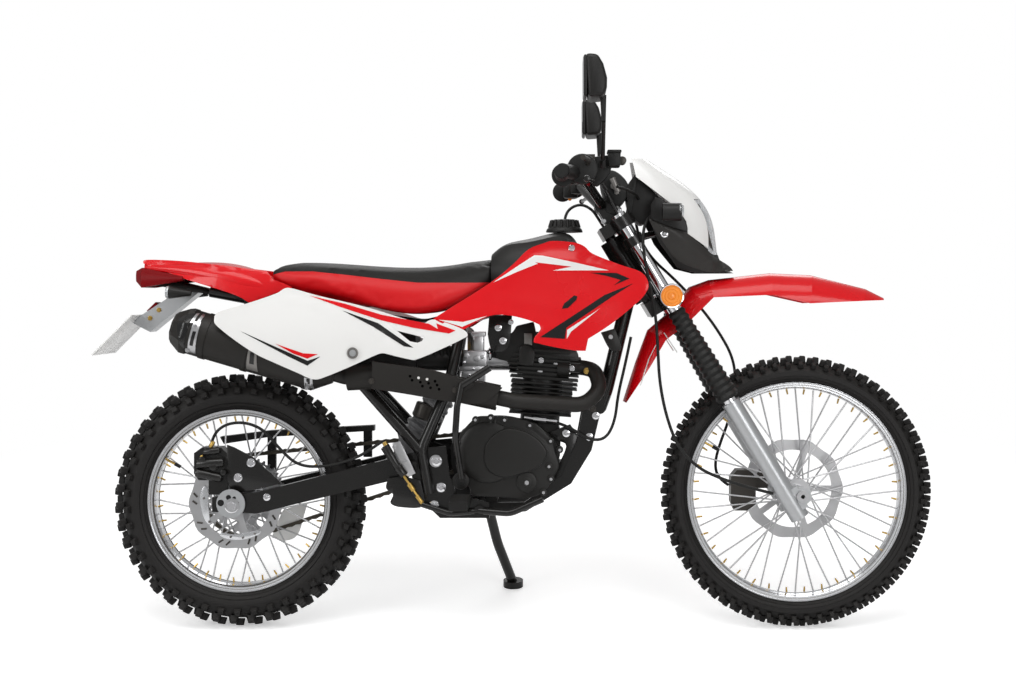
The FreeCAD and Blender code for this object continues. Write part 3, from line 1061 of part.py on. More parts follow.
def front_mudguard():
    """The high front fender, bolted under the lower clamp."""
    shell = saddle("front_fender_shell", FRONT_FENDER_LINE, at.front_fender_wall)
    bosses = [cylinder(f"fender_boss_{spot}", "9", "22", on_fork(spot, side, at.lower_clamp_rise - 22 - at.fit), up_fork)
              for spot, side in ((30, 0), (50, 30), (51, -30))]
    fused("front_fender", [shell] + bosses)


def mask_form(name, inset):
    """Level slices of the headlight mask: height, rear, front, half width."""
    wires = []
    for z, rear, front, half in MASK_SLICES:
        wide, nose = half - inset, front - inset
        side = rear + (nose - rear) * 0.72
        back = rear - (at.overrun if inset else 0)
        wires.append(Part.Wire([
            Part.LineSegment(Vector(back, -wide, z), Vector(back, wide, z)).toShape(),
            Part.Arc(Vector(back, wide, z), Vector((back + side) / 2, wide * 0.97, z),
                     Vector(side, wide * 0.78, z)).toShape(),
            Part.Arc(Vector(side, wide * 0.78, z), Vector(nose, 0, z), Vector(side, -wide * 0.78, z)).toShape(),
            Part.Arc(Vector(side, -wide * 0.78, z), Vector((back + side) / 2, -wide * 0.97, z),
                     Vector(back, -wide, z)).toShape()]))
    return solid(name, Part.makeLoft(wires, True, False))


def headlight():
    """The mask and its beak are cut from one skin; the lens fills the window in it."""
    skin = cut("mask_skin", mask_form("mask_outer", 0), mask_form("mask_inner", at.panel_wall))
    window = prism("lens_window", LENS_POINTS, 62)
    white = common("mask_band", [skin, prism("mask_prism", MASK_POINTS, 200)])
    finished(cut("mask_open", white, window), "headlight_mask")
    black = common("beak_band", [skin, prism("beak_prism", BEAK_POINTS, 200)])
    finished(cut("beak_open", black, window), "headlight_beak")
    pane = cut("pane_skin", mask_form("pane_outer", 1), mask_form("pane_inner", 7))
    finished(common("lens_pane", [pane, prism("lens_prism", LENS_POINTS, 62 - at.fit)]), "headlight_lens")
    bucket = solid("lamp_bucket", Part.makeCone(40, 60, 90, Vector(1092, 0, 1010), Vector(0.96, 0, -0.16)))
    bucket = common("lamp_bucket_fitted", [bucket, mask_form("lamp_room", 7 + at.fit)])
    arms = []
    for side in (-1, 1):
        clip = Part.makeCylinder(at.stanchion_radius + 8, 24, Vector(at.leg_offset, side * at.leg_spread, 745))
        clip = clip.cut(Part.makeCylinder(at.stanchion_radius + at.fit, 24,
                                          Vector(at.leg_offset, side * at.leg_spread, 745)))
        arms.append(fork_solid(f"lamp_clip_{side}", clip, 0))
        arms.append(tube(f"lamp_arm_{side}", [on_fork(at.leg_offset + 22, side * (at.leg_spread - 10), 757),
                                              (1100, side * 34, 1006)], 7, 20))
    fused("headlight_housing", [bucket] + arms)
    lamps = []
    for label, side in (("left", 1), ("right", -1)):
        stalk = Part.makeCylinder(7, 50, Vector(1085, side * 104.8, 1040), Vector(0, side, 0))
        body = Part.makeCylinder(22, 46, Vector(1085, side * 165, 1040) - Vector(23, 0, 0), Vector(1, 0, 0))
        lamps.append(solid(label + "_front_indicator", body.fuse(stalk)))
    grouped("front_indicators", lamps)
    reflectors = []
    for label, side in (("left", 1), ("right", -1)):
        reach = at.leg_spread + at.stanchion_radius + at.clamp_wall
        reflectors.append(cylinder(label + "_reflector", "29", "12", on_fork(at.leg_offset + 9, side * reach, 592)
                                   , (0, side, 0)))
    grouped("side_reflectors", reflectors)


def block_of(points, near, far):
    """A block whose outline in X and Z runs from near to far across the machine."""
    corners = [Vector(x, near, z) for x, z in points]
    return Part.Face(Part.makePolygon(corners + corners[:1])).extrude(Vector(0, far - near, 0))


CALIPER_SHARES = [(0.14, 0), (0.72, 0), (1, 0.16), (1, 0.8), (0.8, 1), (0.24, 1), (0, 0.82), (0, 0.2)]


def calliper(x, z, long, tall, middle, half, bulge):
    """A two-piston calliper astride its disc: middle and half across, with its pistons' bosses outside."""
    body = block_of(outline(CALIPER_SHARES, x, z, long, tall), middle - half, middle + half)
    bosses = []
    for share in (0.3, 0.7):
        place = Vector(x + long * (0.5 if tall > long else share), middle,
                       z + tall * (share if tall > long else 0.5))
        bosses.append(Part.makeCylinder(min(long, tall) * 0.26, half + bulge, place,
                                        Vector(0, 1 if middle > 0 else -1, 0)))
    return body.fuse(bosses)


def brakes():
    """Both callipers over their discs."""
    y = at.front_hub_width / 2 - at.disc_wall / 2
    body = calliper(1250, 285, 64, 104, y, 25, 4)
    slot = Part.makeCylinder(at.front_disc_radius + 6, at.disc_wall + 11,
                             Vector(at.wheelbase, y - at.disc_wall / 2 - 5.5, at.front_axle_rise), Vector(*sideways))
    ear = Part.makeBox(62, 26, 46, Vector(1288, y + 15, 338))
    low = Vector(*on_fork(at.leg_offset, at.leg_spread, 0))
    leg = Part.makeCylinder(at.slider_radius + at.fit, at.slider_top, low, Vector(*up_fork))
    finished(solid("front_calliper", body.fuse(ear).cut([slot, leg]).removeSplitter()), "front_caliper")
    y = -at.rear_hub_width / 2 + at.disc_wall / 2
    body = calliper(-100, 376, 84, 82, y, 22, 4)
    slot = Part.makeCylinder(at.rear_disc_radius + 6, at.disc_wall + 11,
                             Vector(0, y - at.disc_wall / 2 - 5.5, at.rear_axle_rise), Vector(*sideways))
    bracket = block_of([(-64, 339.6), (-20, 339.6), (-10, 400), (-64, 400)], y - 19, y - 11)
    finished(solid("rear_calliper", body.fuse(bracket).cut(slot)), "rear_caliper")


def running_gear():
    """Shock, air box, foot pegs, controls, chain guard and drive sprocket."""
    x, z = at.pivot_x, at.pivot_z
    top = Vector(x + 30, 0, 630 - 12 - at.fit * 10)
    low = Vector(x - 92, 0, z + 14)
    along = (low - top).normalize()
    long = (low - top).Length
    coil = [(24, 0), (24, 38)]
    for turn in range(7):
        coil += [(30, 40 + 22 * turn), (38, 47 + 22 * turn), (38, 53 + 22 * turn), (30, 60 + 22 * turn)]
    coil += [(24, long - 12), (24, long)]
    profile = [Vector(0, 0, 0)] + [Vector(reach, 0, rise) for reach, rise in coil] + [Vector(0, 0, long)]
    damper = Part.Face(Part.makePolygon(profile + profile[:1])).revolve(Vector(), Vector(0, 0, 1), 360)
    damper = damper.transformed(FreeCAD.Placement(top, turned_to(along)).toMatrix())
    finished(solid("damper", damper), "shock_absorber")
    finished(solid("air_box_block", Part.makeBox(140, 128, 135, Vector(x - 195, -64, 612)).fuse(
        Part.makeCylinder(27, at.carb_x - 30 - at.fit - (x - 55), Vector(x - 55, 0, at.carb_z), Vector(1, 0, 0)))), "air_box")
    pegs = []
    for label, side in (("left", 1), ("right", -1)):
        root = at.swingarm_half + at.pivot_gap + at.plate_wall + at.fit
        peg = Part.makeBox(44, at.peg_reach - root, 22, Vector(x + 42, min(side * root, side * at.peg_reach), 322))
        pegs.append(solid(label + "_peg", peg))
    grouped("foot_pegs", pegs)
    shaft = cylinder("output_shaft", "11", "30", (at.drive_shaft_x, 54.3, at.drive_shaft_z), sideways)
    wheel = plate("drive_sprocket_blank", toothed(13, at.drive_sprocket_radius + 2, at.tooth_depth), "sizes.sprocket_wall", 0)
    wheel.Placement = FreeCAD.Placement(Vector(at.drive_shaft_x, at.rear_hub_width / 2, at.drive_shaft_z), FreeCAD.Rotation())
    fused("drive_sprocket", [shaft, wheel])
    lever = tube("kick_lever", [(569, -128, 386), (564, -136, 420), (557, -184, 492), (562, -186, 566), (573, -186, 622)],
                 8, 60)
    pedal = tube("kick_pedal", [(573, -186, 618), (641, -186, 661)], 9, 10)
    shaft = cylinder("kick_shaft", "10", "78", (569, -54.3, 386), (0, -1, 0))
    brake = tube("brake_pedal", [(612, -122, 304), (690, -138, 300), (770, -142, 336)], 8, 60)
    brake_boss = cylinder("brake_boss", "13", "16", (612, -at.swingarm_half - at.pivot_gap - at.plate_wall - at.fit, 304),
                          (0, -1, 0))
    shift = tube("shift_lever", [(690, 108, 352), (735, 140, 362), (790, 142, 372)], 7, 60)
    shift_shaft = cylinder("shift_shaft", "7", "24", (690, 92.5, 352), sideways)
    fused_shift = named("Part::MultiFuse", "shift_joined")
    fused_shift.Shapes = [shift, shift_shaft]
    rod_arm = tube("brake_arm", [(612, -122, 304), (540, -125, 298), (468, -127, 322)], 7, 60)
    rod = tube("brake_rod", [(468, -127, 322), (424, -127, 395)], 4, 60)
    master = tube("master_cylinder", [(426, -127, 392), (379, -127, 464)], 11, 60)
    holder = solid("master_holder", Part.makeBox(62, 14.7, 22, Vector(396, -127, 404)))
    fused_brake = named("Part::MultiFuse", "brake_joined")
    fused_brake.Shapes = [brake, brake_boss, rod_arm, rod, master, holder]
    grouped("foot_controls", [fused_shift, fused_brake])
    fused("kick_starter", [lever, pedal, shaft])
    guard = plate("guard_outline", [(-70, 470), (60, 486), (330, 500), (330, 486), (60, 470), (-60, 452)], "30", 96)
    stays = [plate(f"guard_stay_{spot}", [(spot, foot), (spot + 22, foot), (spot + 22, top), (spot, top)], "12", 96)
             for spot, foot, top in ((50, 351.5, 478), (300, 416, 492))]
    fused("chain_guard", [guard] + stays)


FRONT_BRAKE_ROUTE = [(950, -214, 1098), (974, -170, 1096), (1000, -110, 1086), (1012, -40, 1076), (1013, 40, 1064),
                     (1008, 104, 1044), (1018, 131, 995), (1052, 134, 935), (1110, 134, 884), (1168, 134, 824),
                     (1226, 134, 750), (1272, 134, 668), (1274, 134, 588), (1258, 134, 510), (1232, 124, 446),
                     (1216, 100, 398), (1222, 74, 362), (1247.9, 60.9, 346.1)]
SPEEDO_ROUTE = [(1090.5, -15.2, 1016.8), (1066, -50, 1040), (1030, -98, 1034), (1014, -128, 985), (1022, -133, 915),
                (1036, -132, 850), (1049, -126, 780), (1054, -120, 700), (1058, -114, 625), (1073, -110, 545),
                (1100, -108, 468), (1150, -106, 410), (1215, -103, 380), (1285, -99, 358), (1341.9, -97.1, 343.9)]
VENT_ROUTE = [(823, 0, 1015.5), (824, 0, 1038), (838, 0, 1060), (866, 0, 1070), (894, 0, 1056), (910, 0, 1032),
              (923.4, 0, 1010.4)]
CLUTCH_ROUTE = [(991, -38.6, 732), (977, -43, 665), (958, -50, 588), (950, -58, 520),
                (926, -72, 476), (884, -84, 476), (846, -86, 502), (800, -82, 522), (740.4, -82, 529)]
REAR_BRAKE_ROUTE = [(-62, -68, 458.7), (-58, -68, 486), (-28, -68, 514), (22, -69, 520), (72, -70, 500),
                    (112, -73, 450), (160, -82, 410), (230, -92, 410), (300, -106, 430), (348, -122, 458),
                    (371, -127, 474.8)]


def hoses():
    """Brake hoses and control cables, whole, along their clips."""
    grouped("fork_hoses", [tube("front_brake_hose", FRONT_BRAKE_ROUTE, at.hose_thick / 2, at.slack_bend),
                           tube("speedometer_cable", SPEEDO_ROUTE, at.cable_thick / 2, at.slack_bend)])
    grouped("chassis_hoses", [tube("vent_hose", VENT_ROUTE, at.cable_thick / 2, at.slack_bend),
                              tube("clutch_cable", CLUTCH_ROUTE, at.cable_thick / 2, at.slack_bend),
                              tube("rear_brake_hose", REAR_BRAKE_ROUTE, at.hose_thick / 2, at.slack_bend)])


def tight_box(shapes):
    box = FreeCAD.BoundBox()
    for shape in shapes:
        box.add(shape.optimalBoundingBox(False, False))
    return box


lean = FreeCAD.Placement(Vector(), FreeCAD.Rotation(Vector(1, 0, 0), -at.stand_lean))


def tyre_low(label):
    """The lowest point of a tyre once the machine leans, from the ground under the upright tyre."""
    leaned = pieces[label].Shape.copy()
    leaned.Placement = lean.multiply(leaned.Placement)
    return tight_box([leaned]).ZMin


def ground_rise(x, y):
    """The height of the ground at a place of the upright machine, once it leans."""
    rear, front = tyre_low("rear_tyre"), tyre_low("front_tyre")
    low = rear + (front - rear) * x / at.wheelbase
    turn = math.radians(at.stand_lean)
    return (y * math.sin(turn) + low) / math.cos(turn)


def stand():
    """The side stand: bent leg and foot pad, down on its stop."""
    pivot = Vector(at.stand_pivot_x, at.stand_pivot_y, at.stand_pivot_z)
    ground = ground_rise(at.stand_foot_x, at.stand_foot_y)
    foot = Vector(at.stand_foot_x, at.stand_foot_y, ground + at.stand_foot_thick)
    leg = tube("stand_leg", [pivot + Vector(*stand_axis) * 8, pivot + (foot - pivot) * 0.5 + Vector(-6, -8, 0), foot],
               at.stand_tube, 300)
    pad = Part.makeCylinder(at.stand_foot_half, at.stand_foot_thick * 2)
    pad.translate(Vector(0, 0, -at.stand_foot_thick))
    level = FreeCAD.Rotation(Vector(1, 0, 0), at.stand_lean)
    pad = solid("stand_pad", pad.transformed(FreeCAD.Placement(foot, level).toMatrix()))
    room = Part.makeBox(400, 400, 400, Vector(-200, -200, -400))
    ground = FreeCAD.Placement(Vector(at.stand_foot_x, at.stand_foot_y, ground), level)
    room = solid("under_ground", room.transformed(ground.toMatrix()))
    axis = Vector(*stand_axis)
    eye = solid("stand_eye", Part.makeCylinder(17, 16, pivot - axis * 8, axis))
    pin = solid("stand_pin", Part.makeCylinder(5, 36, pivot - axis * 23.3, axis))
    joined = named("Part::MultiFuse", "stand_joined")
    joined.Shapes = [leg, pad, eye, pin]
    finished(cut("stand_levelled", joined, room), "side_stand")


wheels()
doc.recompute()
drive_chain()
fork()
handlebar()
chassis()
engine()
exhaust()
plastics()
rear_end()
front_mudguard()
headlight()
brakes()
running_gear()
hoses()
stand()
doc.recompute()

os.makedirs("parts", exist_ok=True)
for item in doc.Objects:
    if any(word in item.State for word in ("Invalid", "Error")):
        raise RuntimeError(f"{item.Label} failed: {item.State}")
for label, item in pieces.items():
    if item.Shape.isNull() or not item.Shape.isValid():
        raise RuntimeError(f"{label} has no valid shape")



# Lean onto the stand, level both tyres on the ground, and centre the box over the origin.
pitch = math.degrees(math.atan2(tyre_low("front_tyre") - tyre_low("rear_tyre"), at.wheelbase))
level = FreeCAD.Placement(Vector(), FreeCAD.Rotation(Vector(0, 1, 0), pitch)).multiply(lean)
for item in pieces.values():
    item.Placement = level.multiply(item.Placement)
whole = tight_box([item.Shape for item in pieces.values()])
home = FreeCAD.Placement(Vector(-whole.Center.x, -whole.Center.y, -whole.ZMin), FreeCAD.Rotation())
for item in pieces.values():
    item.Placement = home.multiply(item.Placement)
stored = home.multiply(level)

for label, item in pieces.items():
    item.Shape.exportStep(f"parts/{label}.step")
print("box", [round(v, 2) for v in (whole.XLength, whole.YLength, whole.ZLength)], "pitch", round(pitch, 3))
for name, point in (("rear_axle", rear_axle), ("front_axle", front_axle), ("steering", on_fork(0, 0, at.lower_clamp_rise)),
                    ("stand_pivot", (at.stand_pivot_x, at.stand_pivot_y, at.stand_pivot_z)),
                    ("stand_foot", (at.stand_foot_x, at.stand_foot_y, ground_rise(at.stand_foot_x, at.stand_foot_y)))):
    print(name, [round(v, 3) for v in stored.multVec(Vector(*point))])
for name, way in (("side", sideways), ("up_fork", up_fork), ("up", (0, 0, 1)), ("ahead", (1, 0, 0))):
    print(name, [round(v, 6) for v in stored.Rotation.multVec(Vector(*way))])
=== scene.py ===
"""A dual sport motorcycle leaning on its side stand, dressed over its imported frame."""
import json
import math

import bmesh
import bpy
from mathutils import Matrix, Vector
from mathutils.bvhtree import BVHTree


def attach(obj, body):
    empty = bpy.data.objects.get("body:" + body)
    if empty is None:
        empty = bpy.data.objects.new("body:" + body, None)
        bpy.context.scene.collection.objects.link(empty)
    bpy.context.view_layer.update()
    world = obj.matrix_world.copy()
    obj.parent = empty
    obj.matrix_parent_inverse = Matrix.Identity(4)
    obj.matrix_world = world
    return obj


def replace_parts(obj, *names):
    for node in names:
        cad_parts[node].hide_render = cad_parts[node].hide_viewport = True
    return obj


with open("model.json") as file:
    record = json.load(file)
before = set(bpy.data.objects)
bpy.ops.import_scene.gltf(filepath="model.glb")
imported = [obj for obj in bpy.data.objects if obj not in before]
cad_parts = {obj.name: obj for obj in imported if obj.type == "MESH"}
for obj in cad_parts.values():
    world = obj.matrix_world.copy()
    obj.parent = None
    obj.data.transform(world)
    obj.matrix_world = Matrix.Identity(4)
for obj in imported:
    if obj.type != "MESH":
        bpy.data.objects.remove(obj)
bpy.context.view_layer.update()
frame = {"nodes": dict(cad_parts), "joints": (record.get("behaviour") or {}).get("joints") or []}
nodes = frame["nodes"]
joints = {joint["name"]: joint for joint in frame["joints"]}

MM = 0.001

# The machine is modelled upright, X forward, Y left and Z up: this leans it as the frame stands.
rear_place = Vector(joints["rear_wheel_spin"]["pos_m"])
front_place = Vector(joints["front_wheel_spin"]["pos_m"])
leftwards = Vector(joints["rear_wheel_spin"]["axis"]).normalized()
REAR_AXLE_RISE, FRONT_AXLE_RISE = 0.317, 0.339
base_line = (front_place - rear_place).normalized()
rise_over_base = math.asin((FRONT_AXLE_RISE - REAR_AXLE_RISE) / (front_place - rear_place).length)
forwards = Matrix.Rotation(rise_over_base, 3, leftwards) @ base_line
upwards = forwards.cross(leftwards)
lean = Matrix((forwards, leftwards, upwards)).transposed().to_4x4()
lean.translation = rear_place - upwards * REAR_AXLE_RISE


# Shader groups

def shader_group(name, inputs, outputs):
    """An empty node group with named sockets, and its input and output nodes."""
    group = bpy.data.node_groups.new(name, "ShaderNodeTree")
    for label, value in inputs.items():
        kind = "NodeSocketColor" if isinstance(value, tuple) else "NodeSocketFloat"
        socket = group.interface.new_socket(label, in_out="INPUT", socket_type=kind)
        socket.default_value = value
    for label in outputs:
        kind = "NodeSocketColor" if label == "Colour" else "NodeSocketFloat"
        group.interface.new_socket(label, in_out="OUTPUT", socket_type=kind)
    return group, group.nodes.new("NodeGroupInput"), group.nodes.new("NodeGroupOutput")


def wired(tree, kind, **sockets):
    """A node with its sockets set to values or wired to other nodes' outputs."""
    node = tree.nodes.new(kind)
    for label, value in sockets.items():
        if label in ("operation", "blend_type", "data_type", "feature", "vector_type"):
            setattr(node, label, value)
            continue
        label = label.replace("_", " ")
        socket = node.inputs[int(label[5:])] if label.startswith("input") else node.inputs[label]
        if isinstance(value, bpy.types.NodeSocket):
            tree.links.new(value, socket)
        else:
            socket.default_value = value
    return node


def maths(tree, operation, *values):
    """The result of a maths node on its values."""
    sockets = {f"input{i}": value for i, value in enumerate(values)}
    return wired(tree, "ShaderNodeMath", operation=operation, **sockets).outputs[0]


def object_place(tree):
    """Where a point lies in its object, for textures that stay with it."""
    return tree.nodes.new("ShaderNodeTexCoord").outputs["Object"]


def varied(tree, noise, given):
    """The gloss given, spread by a noise."""
    around = maths(tree, "SUBTRACT", noise.outputs["Fac"], 0.5)
    return maths(tree, "MULTIPLY_ADD", around, given.outputs["Spread"], given.outputs["Gloss"])


def fine_grain():
    """The pebble of moulded plastic, rubber and vinyl, with slow patches of gloss."""
    group, given, out = shader_group("fine grain", {"Scale": 400.0, "Patches": 6.0, "Gloss": 0.4,
                                                    "Spread": 0.1},
                                     ("Height", "Roughness"))
    place = object_place(group)
    pebble = wired(group, "ShaderNodeTexVoronoi", Vector=place, Scale=given.outputs["Scale"], Randomness=0.9)
    soft = wired(group, "ShaderNodeTexNoise", Vector=place, Scale=given.outputs["Patches"], Detail=4.0)
    group.links.new(pebble.outputs["Distance"], out.inputs["Height"])
    group.links.new(varied(group, soft, given), out.inputs["Roughness"])
    return group


def shade_drift():
    """A colour that drifts a little from place to place, towards dust on what faces up."""
    group, given, out = shader_group(
        "shade drift", {"Colour": (0.5, 0.5, 0.5, 1), "Dust colour": (0.35, 0.33, 0.3, 1), "Drift": 0.06,
                        "Dust": 0.05, "Scale": 9.0}, ("Colour",))
    place = object_place(group)
    noise = wired(group, "ShaderNodeTexNoise", Vector=place, Scale=given.outputs["Scale"], Detail=5.0)
    swing = maths(group, "SUBTRACT", noise.outputs["Fac"], 0.5)
    swing = maths(group, "MULTIPLY_ADD", swing, given.outputs["Drift"], 1.0)
    drifted = wired(group, "ShaderNodeVectorMath", operation="SCALE", input0=given.outputs["Colour"],
                    Scale=swing)
    normal = group.nodes.new("ShaderNodeNewGeometry").outputs["Normal"]
    facing = wired(group, "ShaderNodeSeparateXYZ", Vector=normal)
    level = wired(group, "ShaderNodeMapRange", Value=facing.outputs["Z"], From_Min=0.2, From_Max=1.0)
    speck = wired(group, "ShaderNodeTexNoise", Vector=place, Scale=60.0, Detail=6.0, Roughness=0.7)
    dust = maths(group, "MULTIPLY", level.outputs[0], speck.outputs["Fac"])
    dust = maths(group, "MULTIPLY", dust, given.outputs["Dust"])
    mixed = wired(group, "ShaderNodeMix", data_type="RGBA")
    group.links.new(dust, mixed.inputs[0])
    group.links.new(drifted.outputs[0], mixed.inputs[6])
    group.links.new(given.outputs["Dust colour"], mixed.inputs[7])
    group.links.new(mixed.outputs[2], out.inputs["Colour"])
    return group


def metal_marks():
    """Cast pits or drawn scratches in metal: the scratches run along X of the object."""
    group, given, out = shader_group("metal marks", {"Stretch": 1.0, "Scale": 90.0, "Gloss": 0.3,
                                                     "Spread": 0.2},
                                     ("Height", "Roughness"))
    place, stretch = object_place(group), given.outputs["Stretch"]
    squeeze = wired(group, "ShaderNodeCombineXYZ", X=1.0, Y=stretch, Z=stretch).outputs[0]
    stretched = wired(group, "ShaderNodeVectorMath", operation="MULTIPLY", input0=place, input1=squeeze)
    noise = wired(group, "ShaderNodeTexNoise", Vector=stretched.outputs[0], Scale=given.outputs["Scale"],
                  Detail=6.0, Roughness=0.65)
    group.links.new(noise.outputs["Fac"], out.inputs["Height"])
    group.links.new(varied(group, noise, given), out.inputs["Roughness"])
    return group


GRAIN, DRIFT, MARKS = fine_grain(), shade_drift(), metal_marks()


COAT_GLOSS, PAINTED_GLOW = 0.06, 0.15


def finish_of(name, colour, gloss=0.4, spread=0.1, metallic=0.0, grain=500.0, marks=None, bump=0.05,
              dust=0.04, drift=0.06, coat=0.0, glow=None, clear=0.0, specular=0.5):
    """A material: a drifting colour, and either a pebbled grain or metal marks in its gloss and bump."""
    made = bpy.data.materials.new(name)
    made.use_nodes = True
    tree = made.node_tree
    shader = tree.nodes["Principled BSDF"]
    colouring = tree.nodes.new("ShaderNodeGroup")
    colouring.node_tree = DRIFT
    colouring.inputs["Colour"].default_value = (*colour, 1)
    colouring.inputs["Drift"].default_value = drift
    colouring.inputs["Dust"].default_value = dust
    tree.links.new(colouring.outputs["Colour"], shader.inputs["Base Color"])
    surface = tree.nodes.new("ShaderNodeGroup")
    if marks:
        surface.node_tree = MARKS
        surface.inputs["Scale"].default_value, surface.inputs["Stretch"].default_value = marks
    else:
        surface.node_tree = GRAIN
        surface.inputs["Scale"].default_value = grain
    surface.inputs["Gloss"].default_value = gloss
    surface.inputs["Spread"].default_value = spread
    tree.links.new(surface.outputs["Roughness"], shader.inputs["Roughness"])
    bumps = wired(tree, "ShaderNodeBump", Strength=bump, Distance=MM, Height=surface.outputs["Height"])
    tree.links.new(bumps.outputs["Normal"], shader.inputs["Normal"])
    shader.inputs["Metallic"].default_value = metallic
    shader.inputs["Coat Weight"].default_value = coat
    shader.inputs["Coat Roughness"].default_value = COAT_GLOSS
    shader.inputs["Specular IOR Level"].default_value = specular
    if clear:
        shader.inputs["Transmission Weight"].default_value = clear
    # An emission here is a painted glow: it is used on the amber reflector lenses, which are no lamps
    if glow:
        shader.inputs["Emission Color"].default_value = (*glow, 1)
        shader.inputs["Emission Strength"].default_value = PAINTED_GLOW
    return made


def metal(name, colour, scale, metallic=1.0, stretch=1.0, **looks):
    """A metal, with the scale of its pits or scratches."""
    return finish_of(name, colour, metallic=metallic, marks=(scale, stretch), **looks)


# Plastics, films and paints

RED = finish_of("red plastic", (0.62, 0.0, 0.004), gloss=0.26, coat=0.25, bump=0.01, drift=0.03,
                specular=0.3)
WHITE = finish_of("white plastic", (0.74, 0.735, 0.72), gloss=0.3, coat=0.3, bump=0.01, drift=0.02)
BLACK = finish_of("black moulding", (0.008, 0.0075, 0.007), gloss=0.44, grain=900, bump=0.1, specular=0.3)
GLOSS_BLACK = finish_of("black film", (0.006, 0.006, 0.006), gloss=0.22, coat=0.3, bump=0.01, specular=0.3)
BEAK_BLACK = finish_of("beak moulding", (0.022, 0.020, 0.018), gloss=0.42, grain=900, specular=0.35)
FRAME_PAINT = finish_of("frame enamel", (0.006, 0.0055, 0.005), gloss=0.26, coat=0.25, bump=0.02,
                        specular=0.35)
ENGINE_PAINT = finish_of("engine paint", (0.010, 0.0095, 0.0085), marks=(260.0, 1.0), bump=0.1,
                         specular=0.32)
MATT = finish_of("muffler paint", (0.011, 0.0095, 0.008), gloss=0.5, grain=1200, bump=0.06, specular=0.3)
COIL = finish_of("coil paint", (0.16, 0.16, 0.165), bump=0.02)
PLATE = finish_of("plate sheet", (0.62, 0.61, 0.59), bump=0.0, dust=0.0, drift=0.01)
# Painted shade: a black with no gloss that stands for the dark inside holes
HOLE_SHADE = finish_of("shadowed hole", (0.001, 0.001, 0.001), gloss=0.9, bump=0.0, specular=0.0, dust=0.0)

# Rubber and vinyl

RUBBER = finish_of("tyre rubber", (0.009, 0.008, 0.0075), gloss=0.6, grain=700, bump=0.1, dust=0.05,
                   specular=0.3)
SOFT_RUBBER = finish_of("soft rubber", (0.007, 0.007, 0.0065), gloss=0.5, grain=900, bump=0.08, specular=0.3)
VINYL = finish_of("seat vinyl", (0.006, 0.0055, 0.005), gloss=0.5, grain=650, bump=0.25, specular=0.22)
RED_VINYL = finish_of("red seat vinyl", (0.56, 0.0, 0.003), gloss=0.42, grain=650, bump=0.2, specular=0.3)

# Metals

CAST = metal("cast alloy", (0.52, 0.52, 0.53), 300.0, gloss=0.36, bump=0.1)
SILVER = metal("silver paint", (0.47, 0.48, 0.49), 500.0, 0.75, gloss=0.34, bump=0.04)
RIM_ALLOY = metal("rim alloy", (0.72, 0.73, 0.75), 30.0, gloss=0.24, spread=0.06, bump=0.0)
CHROME = metal("chrome", (0.80, 0.80, 0.82), 40.0, gloss=0.09, spread=0.05, bump=0.01)
STEEL = metal("ground steel", (0.52, 0.52, 0.53), 150.0, stretch=10.0, gloss=0.30, bump=0.06)
BRASS = metal("brass", (0.55, 0.36, 0.10), 200.0, gloss=0.30)
DARK_METAL = metal("dark metal", (0.05, 0.045, 0.04), 260.0, 0.6, gloss=0.38, bump=0.1)
GREY_METAL = metal("grey metal", (0.22, 0.21, 0.20), 240.0, 0.8, gloss=0.38, bump=0.1)
CHAIN = metal("chain steel", (0.07, 0.062, 0.05), 200.0, 0.8, gloss=0.36)

# Lenses and mirrors

TAIL_RED = finish_of("tail lens", (0.17, 0.0, 0.002), bump=0.0, specular=0.12)
# The amber lens's emission is a painted glow, standing in for the light the reflectors give back
AMBER = finish_of("amber lens", (0.80, 0.26, 0.03), gloss=0.15, coat=0.8, bump=0.0, glow=(0.8, 0.25, 0.03))
GLASS = finish_of("clear lens", (0.86, 0.88, 0.90), gloss=0.08, coat=1.0, bump=0.0, clear=0.75)
MIRROR = finish_of("mirror glass", (0.75, 0.76, 0.78), gloss=0.03, metallic=1.0, spread=0.02, bump=0.0)

# The finish of each node that is shown as it was packed

NODE_FINISHES = {
    FRAME_PAINT: "main_frame triple_clamps side_stand foot_controls handlebar swingarm headlight_housing "
                 "kick_starter rear_caliper",
    ENGINE_PAINT: "engine_case engine_covers cylinder cylinder_head",
    MATT: "exhaust_pipe heat_shield muffler",
    COIL: "shock_absorber",
    CAST: "carburettor rear_hub front_hub",
    SILVER: "fork_sliders plate_bracket",
    RIM_ALLOY: "front_rim rear_rim",
    STEEL: "rear_axle front_axle front_disc rear_disc rear_sprocket drive_sprocket swingarm_pivot",
    CHROME: "fork_stanchions",
    DARK_METAL: "front_caliper hand_controls",
    RED: "tank_shrouds front_fender tail_fairing",
    WHITE: "side_panels headlight_mask",
    BLACK: "headlight_beak rear_fender chain_guard air_box fuel_cap front_indicators foot_pegs mirrors "
           "fuel_tank",
    VINYL: "seat",
    GLASS: "headlight_lens",
    TAIL_RED: "tail_light",
    AMBER: "side_reflectors",
    SOFT_RUBBER: "grips fork_gaiters fork_hoses chassis_hoses",
    RUBBER: "front_tyre rear_tyre",
    CHAIN: "drive_chain",
    PLATE: "number_plate",
}
for finish, names in NODE_FINISHES.items():
    for name in names.split():
        dressed = nodes[name].data
        dressed.materials.clear()
        dressed.materials.append(finish)


# Stage, light and camera

FLOOR_SIZE, FLOOR_GLOW, WORLD_LIGHT = 14.0, 0.42, 0.42
LAMPS = (("top lamp", (-0.2, -1.2, 3.4), (0, 0, 0.4), (3.4, 1.6), 55),
         ("near lamp", (1.9, -3.6, 1.9), (0.1, 0, 0.6), (1.6, 1.6), 36),
         ("rear lamp", (-2.8, -2.4, 2.0), (-0.2, 0, 0.6), (1.2, 1.8), 30),
         ("far lamp", (0.4, 3.2, 2.6), (0, 0, 0.6), (3.0, 1.4), 40))
CAMERA_PLACE, CAMERA_LENS, CAMERA_SHIFT = (0.812, -3.9, 0.825), 54.2, (-0.0512, -0.0369)


